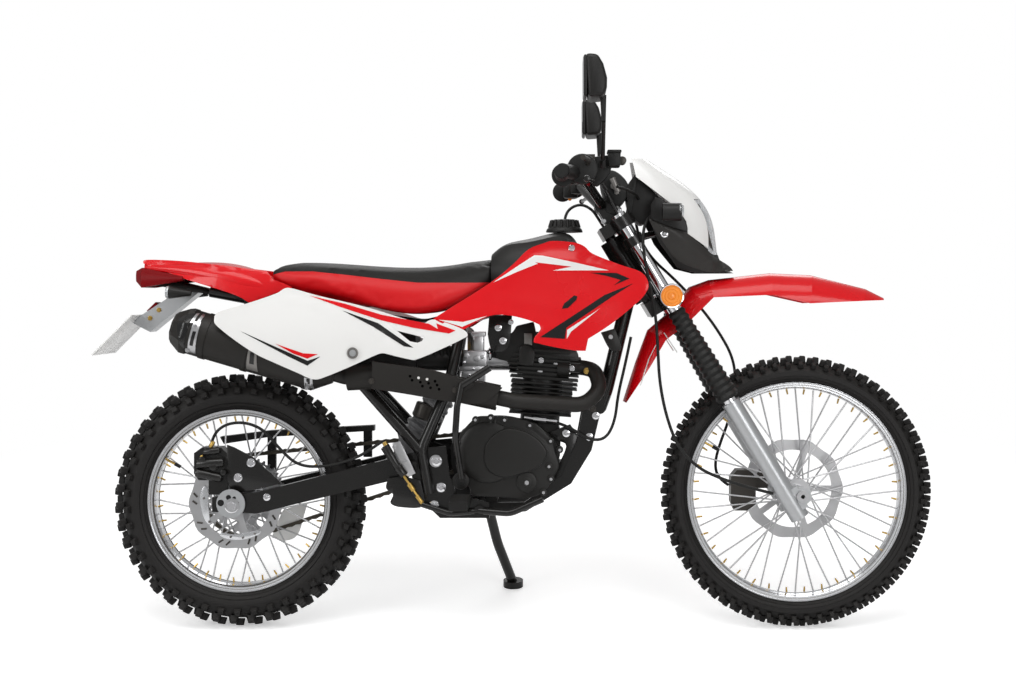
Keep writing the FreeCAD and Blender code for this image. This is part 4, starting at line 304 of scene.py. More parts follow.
def blended(tree, share, first, second):
    """Two shaders mixed by a share."""
    mix = tree.nodes.new("ShaderNodeMixShader")
    for socket, value in zip(mix.inputs, (share, first, second)):
        tree.links.new(value, socket)
    return mix.outputs[0]


def floor_paint():
    """A pale paint that fades to white away from the machine."""
    paint = bpy.data.materials.new("floor paint")
    paint.use_nodes = True
    tree = paint.node_tree
    shader = tree.nodes["Principled BSDF"]
    shader.inputs["Base Color"].default_value = (0.9, 0.9, 0.9, 1)
    shader.inputs["Roughness"].default_value = 0.8
    reach = wired(tree, "ShaderNodeVectorMath", operation="LENGTH", input0=object_place(tree))
    fade = wired(tree, "ShaderNodeMapRange", Value=reach.outputs["Value"], From_Min=1.1, From_Max=2.4)
    white = wired(tree, "ShaderNodeEmission", Color=(1, 1, 1, 1), Strength=1.0)
    camera_ray = tree.nodes.new("ShaderNodeLightPath").outputs["Is Camera Ray"]
    faded = maths(tree, "MULTIPLY", camera_ray, fade.outputs[0])
    lift = maths(tree, "MULTIPLY", camera_ray, FLOOR_GLOW)
    glow = wired(tree, "ShaderNodeEmission", Color=(1, 1, 1, 1), Strength=lift)
    both = tree.nodes.new("ShaderNodeAddShader")
    tree.links.new(shader.outputs[0], both.inputs[0])
    tree.links.new(glow.outputs[0], both.inputs[1])
    shown = blended(tree, faded, both.outputs[0], white.outputs[0])
    tree.links.new(shown, tree.nodes["Material Output"].inputs["Surface"])
    return paint


def lay_floor():
    """The floor under the machine."""
    mesh = bpy.data.meshes.new("floor")
    bm = bmesh.new()
    bmesh.ops.create_grid(bm, x_segments=1, y_segments=1, size=FLOOR_SIZE)
    bm.to_mesh(mesh)
    bm.free()
    mesh.materials.append(floor_paint())
    floor = bpy.data.objects.new("floor", mesh)
    bpy.context.scene.collection.objects.link(floor)


def light_world():
    """Soft light from all round, and plain white where the camera sees past the floor."""
    world = bpy.context.scene.world or bpy.data.worlds.new("studio")
    bpy.context.scene.world = world
    world.use_nodes = True
    tree = world.node_tree
    tree.nodes.clear()
    lit = wired(tree, "ShaderNodeBackground", Color=(1, 1, 1, 1), Strength=WORLD_LIGHT)
    shown = wired(tree, "ShaderNodeBackground", Color=(1, 1, 1, 1), Strength=1.0)
    path = tree.nodes.new("ShaderNodeLightPath")
    clear_ray = maths(tree, "MAXIMUM", path.outputs["Is Camera Ray"], path.outputs["Is Transmission Ray"])
    out = tree.nodes.new("ShaderNodeOutputWorld")
    tree.links.new(blended(tree, clear_ray, lit.outputs[0], shown.outputs[0]), out.inputs["Surface"])


def hang_lamps():
    """Area lamps round the machine, each aimed near its middle."""
    for name, place, aim, size, power in LAMPS:
        lamp = bpy.data.lights.new(name, "AREA")
        lamp.shape = "RECTANGLE"
        lamp.size, lamp.size_y = size
        lamp.energy = power
        holder = bpy.data.objects.new(name, lamp)
        holder.location = place
        holder.rotation_euler = (Vector(aim) - Vector(place)).to_track_quat("-Z", "Y").to_euler()
        bpy.context.scene.collection.objects.link(holder)


def set_camera():
    """The photograph's camera, square to the machine's right-hand side."""
    camera = bpy.data.cameras.new("camera")
    camera.sensor_width = 36
    camera.lens = CAMERA_LENS
    camera.shift_x, camera.shift_y = CAMERA_SHIFT
    holder = bpy.data.objects.new("camera", camera)
    look = Matrix(((1, 0, 0), (0, 0, -1), (0, 1, 0))).to_4x4()
    holder.matrix_world = lean @ Matrix.Translation(CAMERA_PLACE) @ look
    bpy.context.scene.collection.objects.link(holder)
    bpy.context.scene.camera = holder
    bpy.context.scene.view_settings.view_transform = "Standard"


lay_floor()
light_world()
hang_lamps()
set_camera()


# Making shapes

def towards(direction):
    """A turn that points Z along a direction."""
    return Vector(direction).to_track_quat("Z", "Y").to_matrix().to_4x4()


def rod(start, end, radius, tip=None, sides=16):
    """A round rod between two places in millimetres, tapered where it has a tip radius."""
    start, end = Vector(start) * MM, Vector(end) * MM
    bm = bmesh.new()
    bmesh.ops.create_cone(bm, cap_ends=True, segments=sides, radius1=radius * MM,
                          radius2=(radius if tip is None else tip) * MM, depth=(end - start).length,
                          matrix=Matrix.Translation((start + end) / 2) @ towards(end - start))
    return bm


def block(low, high, soften=0.0):
    """A box between two corners in millimetres, with softened edges."""
    low, high = Vector(low) * MM, Vector(high) * MM
    bm = bmesh.new()
    size = Matrix.Diagonal((*(high - low), 1))
    bmesh.ops.create_cube(bm, size=1.0, matrix=Matrix.Translation((low + high) / 2) @ size)
    return softened(bm, soften)


def softened(bm, width, sharper_than=30, segments=2):
    """Rounds every edge that turns more than the angle given."""
    if width:
        limit = math.radians(sharper_than)
        edges = [e for e in bm.edges if len(e.link_faces) == 2 and e.calc_face_angle(0) > limit]
        bmesh.ops.bevel(bm, geom=edges, offset=width * MM, segments=segments, affect="EDGES", profile=0.5,
                        material=-1, clamp_overlap=True)
    return bm


def slab(outline, near, far, soften=0.0, segments=2):
    """A plate across the machine: an outline in X and Z, in millimetres, from near to far in Y."""
    bm = bmesh.new()
    corners = [bm.verts.new((x * MM, near * MM, z * MM)) for x, z in outline]
    face = bm.faces.new(corners)
    grown = bmesh.ops.extrude_face_region(bm, geom=[face])["geom"]
    bmesh.ops.translate(bm, verts=[v for v in grown if isinstance(v, bmesh.types.BMVert)],
                        vec=(0, (far - near) * MM, 0))
    bmesh.ops.recalc_face_normals(bm, faces=bm.faces)
    return softened(bm, soften, segments=segments)


def turned(profile, steps=48, closed=False):
    """A turned form about Z: its profile's radius and rise, in millimetres."""
    bm = bmesh.new()
    corners = [bm.verts.new((radius * MM, 0, rise * MM)) for radius, rise in profile]
    pairs = list(zip(corners, corners[1:])) + ([(corners[-1], corners[0])] if closed else [])
    edges = [bm.edges.new(pair) for pair in pairs]
    bmesh.ops.spin(bm, geom=corners + edges, cent=(0, 0, 0), axis=(0, 0, 1), angle=2 * math.pi, steps=steps,
                   use_merge=True)
    bmesh.ops.remove_doubles(bm, verts=bm.verts, dist=1e-6)
    bmesh.ops.recalc_face_normals(bm, faces=bm.faces)
    return bm


def placed(bm, where):
    """A form moved to its place."""
    bm.transform(where)
    return bm


def at_place(x, y, z, along=(0, 0, 1)):
    """A place in millimetres whose own Z points along a direction."""
    return Matrix.Translation(Vector((x, y, z)) * MM) @ towards(along)


WASHER = 1.6


def bolt(x, y, z, radius=6, along=(0, -1, 0), washer=True, height=5):
    """A hexagon bolt head on its washer, seated at a place."""
    bm = bmesh.new()
    if washer:
        wide = radius * 1.35 * MM
        bmesh.ops.create_cone(bm, cap_ends=True, segments=24, radius1=wide, radius2=wide, depth=WASHER * MM,
                              matrix=Matrix.Translation((0, 0, WASHER / 2 * MM)))
    middle = Matrix.Translation((0, 0, (WASHER + height / 2) * MM))
    bmesh.ops.create_cone(bm, cap_ends=True, segments=6, radius1=radius * MM, radius2=radius * 0.94 * MM,
                          depth=height * MM, matrix=middle)
    bm.transform(at_place(x, y, z, along))
    return softened(bm, 0.5, segments=1)


def joined(parts):
    """Several bmeshes as one, each painted with the finish number given beside it."""
    whole = bmesh.new()
    holder = bpy.data.meshes.new("joining")
    for part in parts:
        bm, paint = part if isinstance(part, tuple) else (part, 0)
        for face in bm.faces:
            face.material_index = paint
        bm.to_mesh(holder)
        bm.free()
        whole.from_mesh(holder)
    bpy.data.meshes.remove(holder)
    return whole


CREASE = 32


def piece(name, parts, finishes, body, where=None, stands_for=()):
    """A finished piece: leaned with the machine, painted, and carried by its body."""
    bm = joined(parts if isinstance(parts, list) else [parts])
    bm.transform(lean @ where if where else lean)
    mesh = bpy.data.meshes.new(name)
    bm.to_mesh(mesh)
    bm.free()
    for finish in finishes:
        mesh.materials.append(finish)
    mesh.shade_smooth()
    mesh.set_sharp_from_angle(angle=math.radians(CREASE))
    made = bpy.data.objects.new(name, mesh)
    bpy.context.scene.collection.objects.link(made)
    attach(made, body)
    if stands_for:
        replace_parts(made, *stands_for)


def rounded(points, steps=5):
    """An outline with its soft points drawn as curves: a point with a third value of 1 stays sharp."""
    count = len(points)
    out = []
    for i, point in enumerate(points):
        after = points[(i + 1) % count]
        here, there = Vector(point[:2]), Vector(after[:2])
        before = Vector(points[i - 1][:2])
        beyond = Vector(points[(i + 2) % count][:2])
        straight = (there - here) / 2
        lead = straight if len(point) > 2 else (there - before) / 2
        trail = straight if len(after) > 2 else (beyond - here) / 2
        for k in range(steps):
            t = k / steps
            a, b = 2 * t ** 3 - 3 * t ** 2 + 1, t ** 3 - 2 * t ** 2 + t
            c, d = -2 * t ** 3 + 3 * t ** 2, t ** 3 - t ** 2
            spot = here * a + lead * b + there * c + trail * d
            out.append((spot.x, spot.y))
    return out


def skin_of(node):
    """The upright triangles of a node, for finding its surface."""
    upright = lean.inverted()
    mesh = nodes[node].data
    corners = [upright @ v.co for v in mesh.vertices]
    return BVHTree.FromPolygons(corners, [tuple(p.vertices) for p in mesh.polygons])


def gridded(outline, spacing):
    """A flat outline in X and Z cut into a grid, so that it can bend over a form."""
    bm = bmesh.new()
    bm.faces.new([bm.verts.new((x * MM, 0, z * MM)) for x, z in outline])
    bmesh.ops.recalc_face_normals(bm, faces=bm.faces)
    xs, zs = [x for x, z in outline], [z for x, z in outline]
    for axis, low, high in ((0, min(xs), max(xs)), (2, min(zs), max(zs))):
        normal = (1, 0, 0) if axis == 0 else (0, 0, 1)
        cuts = int((high - low) / spacing)
        for i in range(1, cuts + 1):
            spot = [0, 0, 0]
            spot[axis] = (low + (high - low) * i / (cuts + 1)) * MM
            bmesh.ops.bisect_plane(bm, geom=list(bm.verts) + list(bm.edges) + list(bm.faces), dist=1e-7,
                                   plane_co=spot, plane_no=normal)
    return bm


RAY_START, SEARCH_START, INNERMOST, SETTLING = 0.6, 0.16, 0.03, 40


def laid_on(bm, skin, proud=0.0, shape=None):
    """Drops each vertex on a node's outer surface from the right, and settles those that miss it."""
    loose = []
    for v in bm.verts:
        hit = skin.ray_cast(Vector((v.co.x, -RAY_START, v.co.z)), Vector((0, 1, 0)))[0]
        if hit is None or hit.y > -INNERMOST:
            loose.append(v)
            hit = skin.find_nearest(Vector((v.co.x, -SEARCH_START, v.co.z)))[0]
        lift = proud + (shape(v.co.x / MM, v.co.z / MM) if shape else 0)
        v.co.y = hit.y - lift * MM
    for _ in range(SETTLING):
        for v in loose:
            around = [e.other_vert(v).co.y for e in v.link_edges]
            v.co.y = sum(around) / len(around)


def walled(bm, wall, soften=0.0):
    """Gives an open skin of the right-hand side its thickness towards the middle of the machine."""
    bm.normal_update()
    if sum(f.normal.y * f.calc_area() for f in bm.faces) > 0:
        bmesh.ops.reverse_faces(bm, faces=bm.faces)
    grown = bmesh.ops.extrude_face_region(bm, geom=list(bm.faces), use_keep_orig=True)["geom"]
    moved = [v for v in grown if isinstance(v, bmesh.types.BMVert)]
    bmesh.ops.translate(bm, verts=moved, vec=(0, wall * MM, 0))
    bmesh.ops.recalc_face_normals(bm, faces=bm.faces)
    return softened(bm, soften, sharper_than=50)


def mirrored_copy(bm):
    """The same form on the other side of the machine."""
    other = bm.copy()
    bmesh.ops.scale(other, vec=(1, -1, 1), verts=other.verts)
    bmesh.ops.reverse_faces(other, faces=other.faces)
    return other


# Tyres

REAR_CENTRE, FRONT_CENTRE = (0, 0, 317), (1412, 0, 339)
# Each row of lugs: its offset, rise and tilt, a lug's length, width and height, and its shift round
REAR_LUGS = ((15, 6, 12, 20, 21, 18, 0.0), (36, -3, 34, 19, 16, 18, 0.25), (47, -22, 66, 17, 15, 13, 0.0))
FRONT_LUGS = ((0, 5, 0, 15, 19, 17, 0.5), (17, 2, 22, 15, 12, 16, 0.0), (31, -8, 48, 13, 12, 15, 0.25))


def lug_block(long, wide, tall):
    """A square tread lug, narrower at its top."""
    bm = bmesh.new()
    bmesh.ops.create_cube(bm, size=1.0)
    for v in bm.verts:
        narrow = 0.84 if v.co.z > 0 else 1.08
        v.co = Vector((v.co.x * long * narrow, v.co.y * wide * narrow, (v.co.z + 0.1) * tall)) * MM
    return softened(bm, 1.3, segments=1)


def carcass(half_width, base, bead, rise):
    """The turned body of a tyre between its beads."""
    half = [(bead, rise - 3), (bead + 3, rise + 3), (bead + 14, half_width * 0.82),
            (bead + 30, half_width * 0.93), (base - 34, half_width * 0.93), (base - 17, half_width * 0.74),
            (base - 6, half_width * 0.46), (base, 0)]
    other = [(radius, -along) for radius, along in reversed(half[:-1])]
    body = turned(half + other + [(bead - 2, 0)], steps=120, closed=True)
    return placed(body, Matrix.Rotation(math.pi / 2, 4, "X"))


def tyre(name, body, centre, outer, half_width, lug, rows, count, beads):
    """A trail tyre: a turned carcass with rings at its beads and rows of square lugs round it."""
    base, bead = outer - lug, beads[0]
    parts = [(carcass(half_width, base, *beads), 0)]
    for band, share in ((bead + 10, 0.74), (bead + 19, 0.86)):
        offset = half_width * share
        for side in (-1, 1):
            ring = turned([(band - 1.5, offset - 2), (band, offset + 1.6), (band + 1.5, offset - 2)],
                          steps=90)
            parts.append((placed(ring, Matrix.Rotation(side * math.pi / 2, 4, "X")), 0))
    for number in range(count):
        for along, reach, tilt, long, wide, tall, shift in rows:
            for side in (-1, 1) if along else (-1,):
                turn = (number + shift + (0.5 if side > 0 else 0)) / count * 2 * math.pi
                lift = Matrix.Translation((0, side * along * MM, (base + reach) * MM))
                roll = Matrix.Rotation(-side * math.radians(tilt), 4, "X")
                where = Matrix.Rotation(turn, 4, "Y") @ lift @ roll
                parts.append((placed(lug_block(long, wide, tall), where), 0))
    piece(name, parts, [RUBBER], body, Matrix.Translation(Vector(centre) * MM), (name,))


tyre("rear_tyre", "rear_wheel", REAR_CENTRE, 315, 51, 14, REAR_LUGS, 42, (229, 29))
tyre("front_tyre", "front_wheel", FRONT_CENTRE, 341, 39, 12, FRONT_LUGS, 62, (276, 21))


# Spokes' nipples and the tyres' valves

SPOKES, SPOKE_LEAN, VALVE_TURN, NIPPLE_LONG = 36, math.radians(9), math.radians(-62), 15


def nipples(name, body, centre, rim_radius):
    """The brass nipples where each spoke meets its rim, on the spokes' own lines, and the valve."""
    parts = []
    outwards = Matrix.Translation((0, 0, rim_radius * MM))
    for number in range(SPOKES):
        turn = (number + 0.5) * 2 * math.pi / SPOKES
        side = 1 if number % 2 else -1
        lean_in = Matrix.Rotation(SPOKE_LEAN if number % 4 < 2 else -SPOKE_LEAN, 4, "Y")
        bm = rod((0, side * 3, rim_radius - 2), (0, side * 4.5, rim_radius - NIPPLE_LONG), 2.6, 2.0, sides=8)
        hub_end = outwards @ lean_in @ outwards.inverted()
        parts.append((placed(bm, Matrix.Rotation(turn, 4, "Y") @ hub_end), 0))
    stem = rod((0, 0, rim_radius), (0, 0, rim_radius - 30), 3.0, sides=10)
    cap = rod((0, 0, rim_radius - 22), (0, 0, rim_radius - 38), 4.6, sides=12)
    for bm, paint in ((stem, 0), (cap, 1)):
        parts.append((placed(bm, Matrix.Rotation(VALVE_TURN, 4, "Y")), paint))
    piece(name, parts, [BRASS, SOFT_RUBBER], body, Matrix.Translation(Vector(centre) * MM))


nipples("rear_nipples", "rear_wheel", REAR_CENTRE, 214)
nipples("front_nipples", "front_wheel", FRONT_CENTRE, 261)


# Places on the machine by the photograph's pixels, from its camera, middle, axle, ground and scale

CAMERA_AWAY, MIDDLE_U, MIDDLE_V = 3900, 560, 300
AXLE_U, GROUND_V, PIXEL_SPAN = 241.4, 623.4, 2.55
SHROUD_Y, SIDE_Y, BEAK_Y, LENS_Y, FENDER_Y, MUFFLER_Y = -150, -165, -100, -60, -45, -175


def from_photo(u, v, y):
    """Where a pixel of the photograph lies on the plane y of the machine, as X and Z in millimetres."""
    nearer = (CAMERA_AWAY + y) / CAMERA_AWAY
    x = (MIDDLE_U + (u - MIDDLE_U) * nearer - AXLE_U) * PIXEL_SPAN
    z = (GROUND_V - MIDDLE_V - (v - MIDDLE_V) * nearer) * PIXEL_SPAN
    return x, z


def traced(pixels, y):
    """Pixels as places on the plane y, each with its third value, if any, that keeps it sharp."""
    return [from_photo(*p[:2], y) + tuple(p[2:]) for p in pixels]


def near_line(x, z, line):
    """How far a place is from a line of points."""
    best = math.inf
    for (ax, az), (bx, bz) in zip(line, line[1:]):
        span = (bx - ax) ** 2 + (bz - az) ** 2
        share = max(0, min(1, ((x - ax) * (bx - ax) + (z - az) * (bz - az)) / span))
        best = min(best, math.hypot(x - ax - share * (bx - ax), z - az - share * (bz - az)))
    return best


def ridge(line, height, width):
    """A soft raised line on a panel."""
    return lambda x, z: height * math.exp(-(near_line(x, z, line) / width) ** 2)


def swell(x0, z0, reach_x, reach_z, height):
    """A soft bulge round a place on a panel."""
    return lambda x, z: height * math.exp(-((x - x0) / reach_x) ** 2 - ((z - z0) / reach_z) ** 2)


def relief(*shapes):
    """Several ridges and bulges together."""
    return lambda x, z: sum(shape(x, z) for shape in shapes)


HOLE_REACH = 100


def panel(skin, outline, spacing, wall, shape=None, soften=1.4, hole=None, proud=0.0, calm=0):
    """A moulded panel laid over the form of its node, and its own surface for what lies on it."""
    bm = gridded(rounded(outline, 4), spacing)
    if hole:
        bm = carved(bm, slab(hole, -HOLE_REACH, HOLE_REACH))
    laid_on(bm, skin, proud, shape)
    for _ in range(calm):
        bmesh.ops.smooth_vert(bm, verts=bm.verts, factor=0.5, use_axis_y=True)
    bm.normal_update()
    own_skin = BVHTree.FromBMesh(bm)
    return walled(bm, wall, soften), own_skin


def carved(bm, tool):
    """One form with another cut out of it."""
    holders = []
    for part in (bm, tool):
        mesh = bpy.data.meshes.new("carving")
        part.to_mesh(mesh)
        part.free()
        holders.append(bpy.data.objects.new("carving", mesh))
        bpy.context.scene.collection.objects.link(holders[-1])
    cut = holders[0].modifiers.new("cut", "BOOLEAN")
    cut.object, cut.operation, cut.solver = holders[1], "DIFFERENCE", "EXACT"
    result = bpy.data.meshes.new_from_object(holders[0].evaluated_get(bpy.context.evaluated_depsgraph_get()))
    out = bmesh.new()
    out.from_mesh(result)
    meshes = [holder.data for holder in holders] + [result]
    for holder in holders:
        bpy.data.objects.remove(holder)
    for mesh in meshes:
        bpy.data.meshes.remove(mesh)
    return out


def film(skin, outline, y, proud=0.9, wall=1.2, spacing=9):
    """A thin coloured film on a panel, its outline given in the photograph's pixels."""
    bm = gridded(traced(outline, y), spacing)
    laid_on(bm, skin, proud)
    return walled(bm, wall)


def both_sides(bm, paint=0):
    """A form of the right-hand side and its mirror image, in one finish."""
    return [(mirrored_copy(bm), paint), (bm, paint)]


def skin_reach(skin, side, x, z, lost):
    """How far out a surface lies on one side of the machine at a place."""
    hit = skin.ray_cast(Vector((x * MM, side * RAY_START, z * MM)), Vector((0, -side, 0)))[0]
    return abs(hit.y) / MM if hit else lost


def on_side(form, x, y, z, side):
    """A turned form facing out from one side of the machine."""
    return placed(form, at_place(x, side * y, z, (0, side, 0)))


# Tank shrouds with their films and screws

SHROUD_EDGE = [(501, 779, 1), (536, 762), (572, 752), (608, 772), (648, 788), (690, 787), (736, 776),
               (762, 765, 1), (764, 752), (750, 734), (748, 722, 1), (797, 711), (846, 703), (874, 702, 1),
               (880, 731, 1), (934, 766), (997, 817), (1020, 843), (1026, 866), (1008, 893), (955, 912),
               (892, 938), (872, 956), (846, 966), (795, 970), (771, 964), (734, 949), (696, 912),
               (650, 874), (600, 841), (550, 810)]
SHROUD_RIDGES = ((((500, 299), (545, 304), (562, 310), (585, 290)), 2.4, 9),
                 (((440, 316), (486, 312), (520, 314), (548, 330), (590, 312), (640, 288)), 2.0, 14),
                 (((500, 281), (536, 258), (575, 262), (640, 279)), 3.0, 12))
SHROUD_FILMS = (
    (1, ((492.7, 282.5), (515, 267.5), (534, 255.2), (542.5, 255.5), (575, 262.6), (608.3, 270.5),
         (552.4, 270.5), (571.5, 266.7), (534.8, 262.1), (537.6, 263.6), (518, 271.3))),
    (2, ((589.9, 272.8), (615.9, 273.1), (628.5, 278.6), (613.2, 285.1), (619.8, 280), (606.7, 276.2))),
    (2, ((540.2, 336.6), (564.6, 338.2), (566.2, 327.1), (611.3, 296.5), (632, 283.5), (603.7, 295))),
    (1, ((566.5, 338.2), (566.9, 329.4), (599.4, 308), (570.8, 331))),
    (2, ((561.6, 308.5), (563.9, 303.4), (573.8, 295.3), (576.9, 296.1), (576.1, 299.6), (567.7, 307.6))),
    (1, ((438.1, 319.5), (462.9, 321.8), (487, 315.7), (462.1, 326.7))))
SHROUD_SCREW = (571.5, 248)

shroud_relief = relief(*[ridge(traced(line, SHROUD_Y), high, wide) for line, high, wide in SHROUD_RIDGES],
                       swell(840, 800, 90, 60, 4))
near_shroud, shroud_skin = panel(skin_of("tank_shrouds"), SHROUD_EDGE, 11, 3.2, shroud_relief)
parts = both_sides(near_shroud)
for paint, outline in SHROUD_FILMS:
    parts += both_sides(film(shroud_skin, outline, SHROUD_Y), paint)
x, z = from_photo(*SHROUD_SCREW, SHROUD_Y)
for side in (-1, 1):
    y = skin_reach(shroud_skin, side, x, z, 108) + 1
    parts.append((bolt(x, side * y, z, 6, (0, side, 0.25), height=3), 3))
piece("tank_shrouds", parts, [RED, WHITE, GLOSS_BLACK, CHROME], "chassis", stands_for=("tank_shrouds",))

# Side panels with the air box's opening, their films and screw cups

SIDE_EDGE = [(-30, 779), (-24, 793), (-1, 802), (60, 820), (120, 841), (140, 853), (160, 853), (222, 836),
             (342, 807), (463, 770), (489, 774, 1), (506, 777), (548, 764), (577, 751), (585, 741),
             (578, 732), (520, 704), (465, 681), (444, 680), (384, 695, 1), (366, 692), (300, 662),
             (239, 637), (218, 632), (198, 637), (177, 647), (120, 672), (74, 693), (20, 728), (-24, 763)]
EYE = ((396.6, 330.5), (423.2, 337.4), (421.5, 341), (417, 342.8), (409.5, 341.2))
SIDE_RIDGES = ((((285, 297), (318, 305), (345, 322), (352, 335)), 2.2, 9),
               (((312, 299), (352, 315), (379, 332), (386, 343), (378, 351)), 2.6, 7))
SIDE_FILMS = (
    (1, ((309.7, 295.4), (345, 303.5), (381.5, 314.6), (428.5, 323.7), (437.3, 328.9), (435.7, 323.3),
         (455.1, 330.5), (448.4, 333.5), (413.4, 327.8), (381.5, 320.2), (341.6, 307.1))),
    (2, ((342.9, 310.3), (378.3, 323), (398, 337), (413, 347.5), (403.8, 346.2), (373.5, 326.5))),
    (2, ((242, 331), (309.1, 360.2), (321.7, 356), (308.9, 365.1), (290, 356))),
    (1, ((277, 343.3), (304.9, 352.8), (319.3, 353.6), (308.9, 358.1), (295.4, 353.3))))
SIDE_SCREW = (353.6, 352.6)

side_relief = relief(*[ridge(traced(line, SIDE_Y), high, wide) for line, high, wide in SIDE_RIDGES],
                     swell(180, 745, 150, 60, 5))
near_side, side_skin = panel(skin_of("side_panels"), SIDE_EDGE, 11, 3.2, side_relief,
                             hole=traced(EYE, SIDE_Y))
parts = both_sides(near_side)
for paint, outline in SIDE_FILMS:
    parts += both_sides(film(side_skin, outline, SIDE_Y), paint)
x, z = from_photo(*SIDE_SCREW, SIDE_Y)
for side in (-1, 1):
    y = skin_reach(side_skin, side, x, z, 160) + 3
    cup = turned([(0, 0), (13, 0), (14, 1.5), (11, 2.2), (10, 0.8), (0, 0.8)], steps=32)
    parts.append((on_side(cup, x, y, z, side), 3))
    parts.append((bolt(x, side * y, z, 6, (0, side, 0), height=4), 4))
piece("side_panels", parts, [WHITE, RED, GLOSS_BLACK, GREY_METAL, SILVER], "chassis",
      stands_for=("side_panels",))

# The seat: a puffed cover, black on top and red on its sides, with a seam between

SEAM = [(80, 883), (104, 890), (128, 896), (197, 896), (267, 889), (371, 877), (458, 868), (602, 868),
        (700, 870)]
SEAT_VOXEL, SEAT_PRESSURE, SEAT_PUFF, SEAT_HELD, PUFF_FRAMES = 0.006, 3.0, 0.006, 0.02, 15


def shown_mesh(made):
    """An object's mesh with its modifiers applied."""
    return bpy.data.meshes.new_from_object(made.evaluated_get(bpy.context.evaluated_depsgraph_get()))


def remeshed(made, mesh):
    """Gives an object a new mesh in place of its own and its modifiers."""
    old = made.data
    made.modifiers.clear()
    made.vertex_groups.clear()
    made.data = mesh
    bpy.data.meshes.remove(old)


def puffed(pad):
    """Puffs a padded form as cloth, and keeps it near the solid's own surface."""
    start = [v.co.copy() for v in pad.data.vertices]
    cloth = pad.modifiers.new("puff", "CLOTH")
    cloth.settings.use_pressure = True
    cloth.settings.uniform_pressure_force = SEAT_PRESSURE
    cloth.settings.effector_weights.gravity = 0
    cloth.settings.quality = 6
    held = pad.vertex_groups.new(name="held")
    low = min(spot.z for spot in start)
    held.add([i for i, spot in enumerate(start) if spot.z < low + SEAT_HELD], 1.0, "REPLACE")
    cloth.settings.vertex_group_mass = "held"
    for step in range(PUFF_FRAMES):
        bpy.context.scene.frame_set(step + 1)
    mesh = shown_mesh(pad)
    bpy.context.scene.frame_set(1)
    for v, was in zip(mesh.vertices, start):
        move = v.co - was
        if move.length > SEAT_PUFF:
            v.co = was + move * (SEAT_PUFF / move.length)
    remeshed(pad, mesh)


def seam_height(x):
    """The height of the seat's seam between its black top and red sides."""
    for (ax, az), (bx, bz) in zip(SEAM, SEAM[1:]):
        if x <= bx:
            return az + (bz - az) * max(0, (x - ax)) / (bx - ax)
    return SEAM[-1][1]


def cut_along_seam(mesh):
    """Cuts the cover's faces along the seam, so that the two colours meet in a clean line."""
    cover = bmesh.new()
    cover.from_mesh(mesh)
    for x, _ in SEAM:
        bmesh.ops.bisect_plane(cover, geom=cover.verts[:] + cover.edges[:] + cover.faces[:],
                               plane_co=(x * MM, 0, 0), plane_no=(1, 0, 0))
    for (ax, az), (bx, bz) in zip(SEAM, SEAM[1:]):
        faces = [f for f in cover.faces if ax * MM < f.calc_center_median().x < bx * MM]
        edges = {e for f in faces for e in f.edges}
        verts = {v for f in faces for v in f.verts}
        bmesh.ops.bisect_plane(cover, geom=faces + list(edges) + list(verts), plane_co=(ax * MM, 0, az * MM),
                               plane_no=(az - bz, 0, bx - ax))
    cover.to_mesh(mesh)
    cover.free()


def seat():
    """The long seat, from its plain solid."""
    mesh = bpy.data.meshes.new("seat_cover")
    bm = bmesh.new()
    bm.from_mesh(nodes["seat"].data)
    bmesh.ops.remove_doubles(bm, verts=bm.verts, dist=1e-5)
    bm.transform(lean.inverted())
    bm.to_mesh(mesh)
    bm.free()
    pad = bpy.data.objects.new("seat_cover", mesh)
    bpy.context.scene.collection.objects.link(pad)
    melt = pad.modifiers.new("melt", "REMESH")
    melt.mode, melt.voxel_size = "VOXEL", SEAT_VOXEL
    soft = pad.modifiers.new("soft", "SMOOTH")
    soft.factor, soft.iterations = 0.5, 8
    remeshed(pad, shown_mesh(pad))
    puffed(pad)
    mesh = pad.data
    cut_along_seam(mesh)
    mesh.materials.clear()
    mesh.materials.append(VINYL)
    mesh.materials.append(RED_VINYL)
    for face in mesh.polygons:
        spot = face.center / MM
        face.material_index = 1 if spot.z < seam_height(spot.x) and abs(face.normal.y) > 0.2 else 0
    mesh.transform(lean)
    mesh.shade_smooth()
    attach(pad, "chassis")
    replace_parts(pad, "seat")


seat()


# Small parts seated by what a pixel's line of sight meets

def whole_skin():
    """Every node's upright triangles together."""
    upright = lean.inverted()
    corners, faces = [], []
    for node in nodes.values():
        base = len(corners)
        corners += [upright @ v.co for v in node.data.vertices]
        faces += [tuple(base + i for i in p.vertices) for p in node.data.polygons]
    return BVHTree.FromPolygons(corners, faces)


ALL_SKIN = whole_skin()
NEAR_Y, FAR_Y = -520, 200


def seen(u, v, lost=-70):
    """The first place that the line of sight through a pixel meets, in millimetres."""
    near, far = [Vector((*from_photo(u, v, y), y)).xzy * MM for y in (NEAR_Y, FAR_Y)]
    hit = ALL_SKIN.ray_cast(near, (far - near).normalized())[0]
    if hit is None:
        x, z = from_photo(u, v, lost)
        return Vector((x, lost, z))
    return hit / MM


def stud(u, v, radius=5, height=4, lift=0.0):
    """A hexagon bolt with its washer on the first solid seen through a pixel."""
    x, y, z = seen(u, v)
    return bolt(x, y - lift, z, radius, height=height)


def hexagon(u, v, y, radius, height=4, lift=0.0, washer=False):
    """A hexagon head on a plane, at a pixel."""
    x, z = from_photo(u, v, y)
    return bolt(x, y - lift, z, radius, washer=washer, height=height)


def peg(u, v, near, far, radius, sides=16, plane=None):
    """A rod across the machine between two planes, at a pixel."""
    x, z = from_photo(u, v, near if plane is None else plane)
    return rod((x, near, z), (x, far, z), radius, sides=sides)


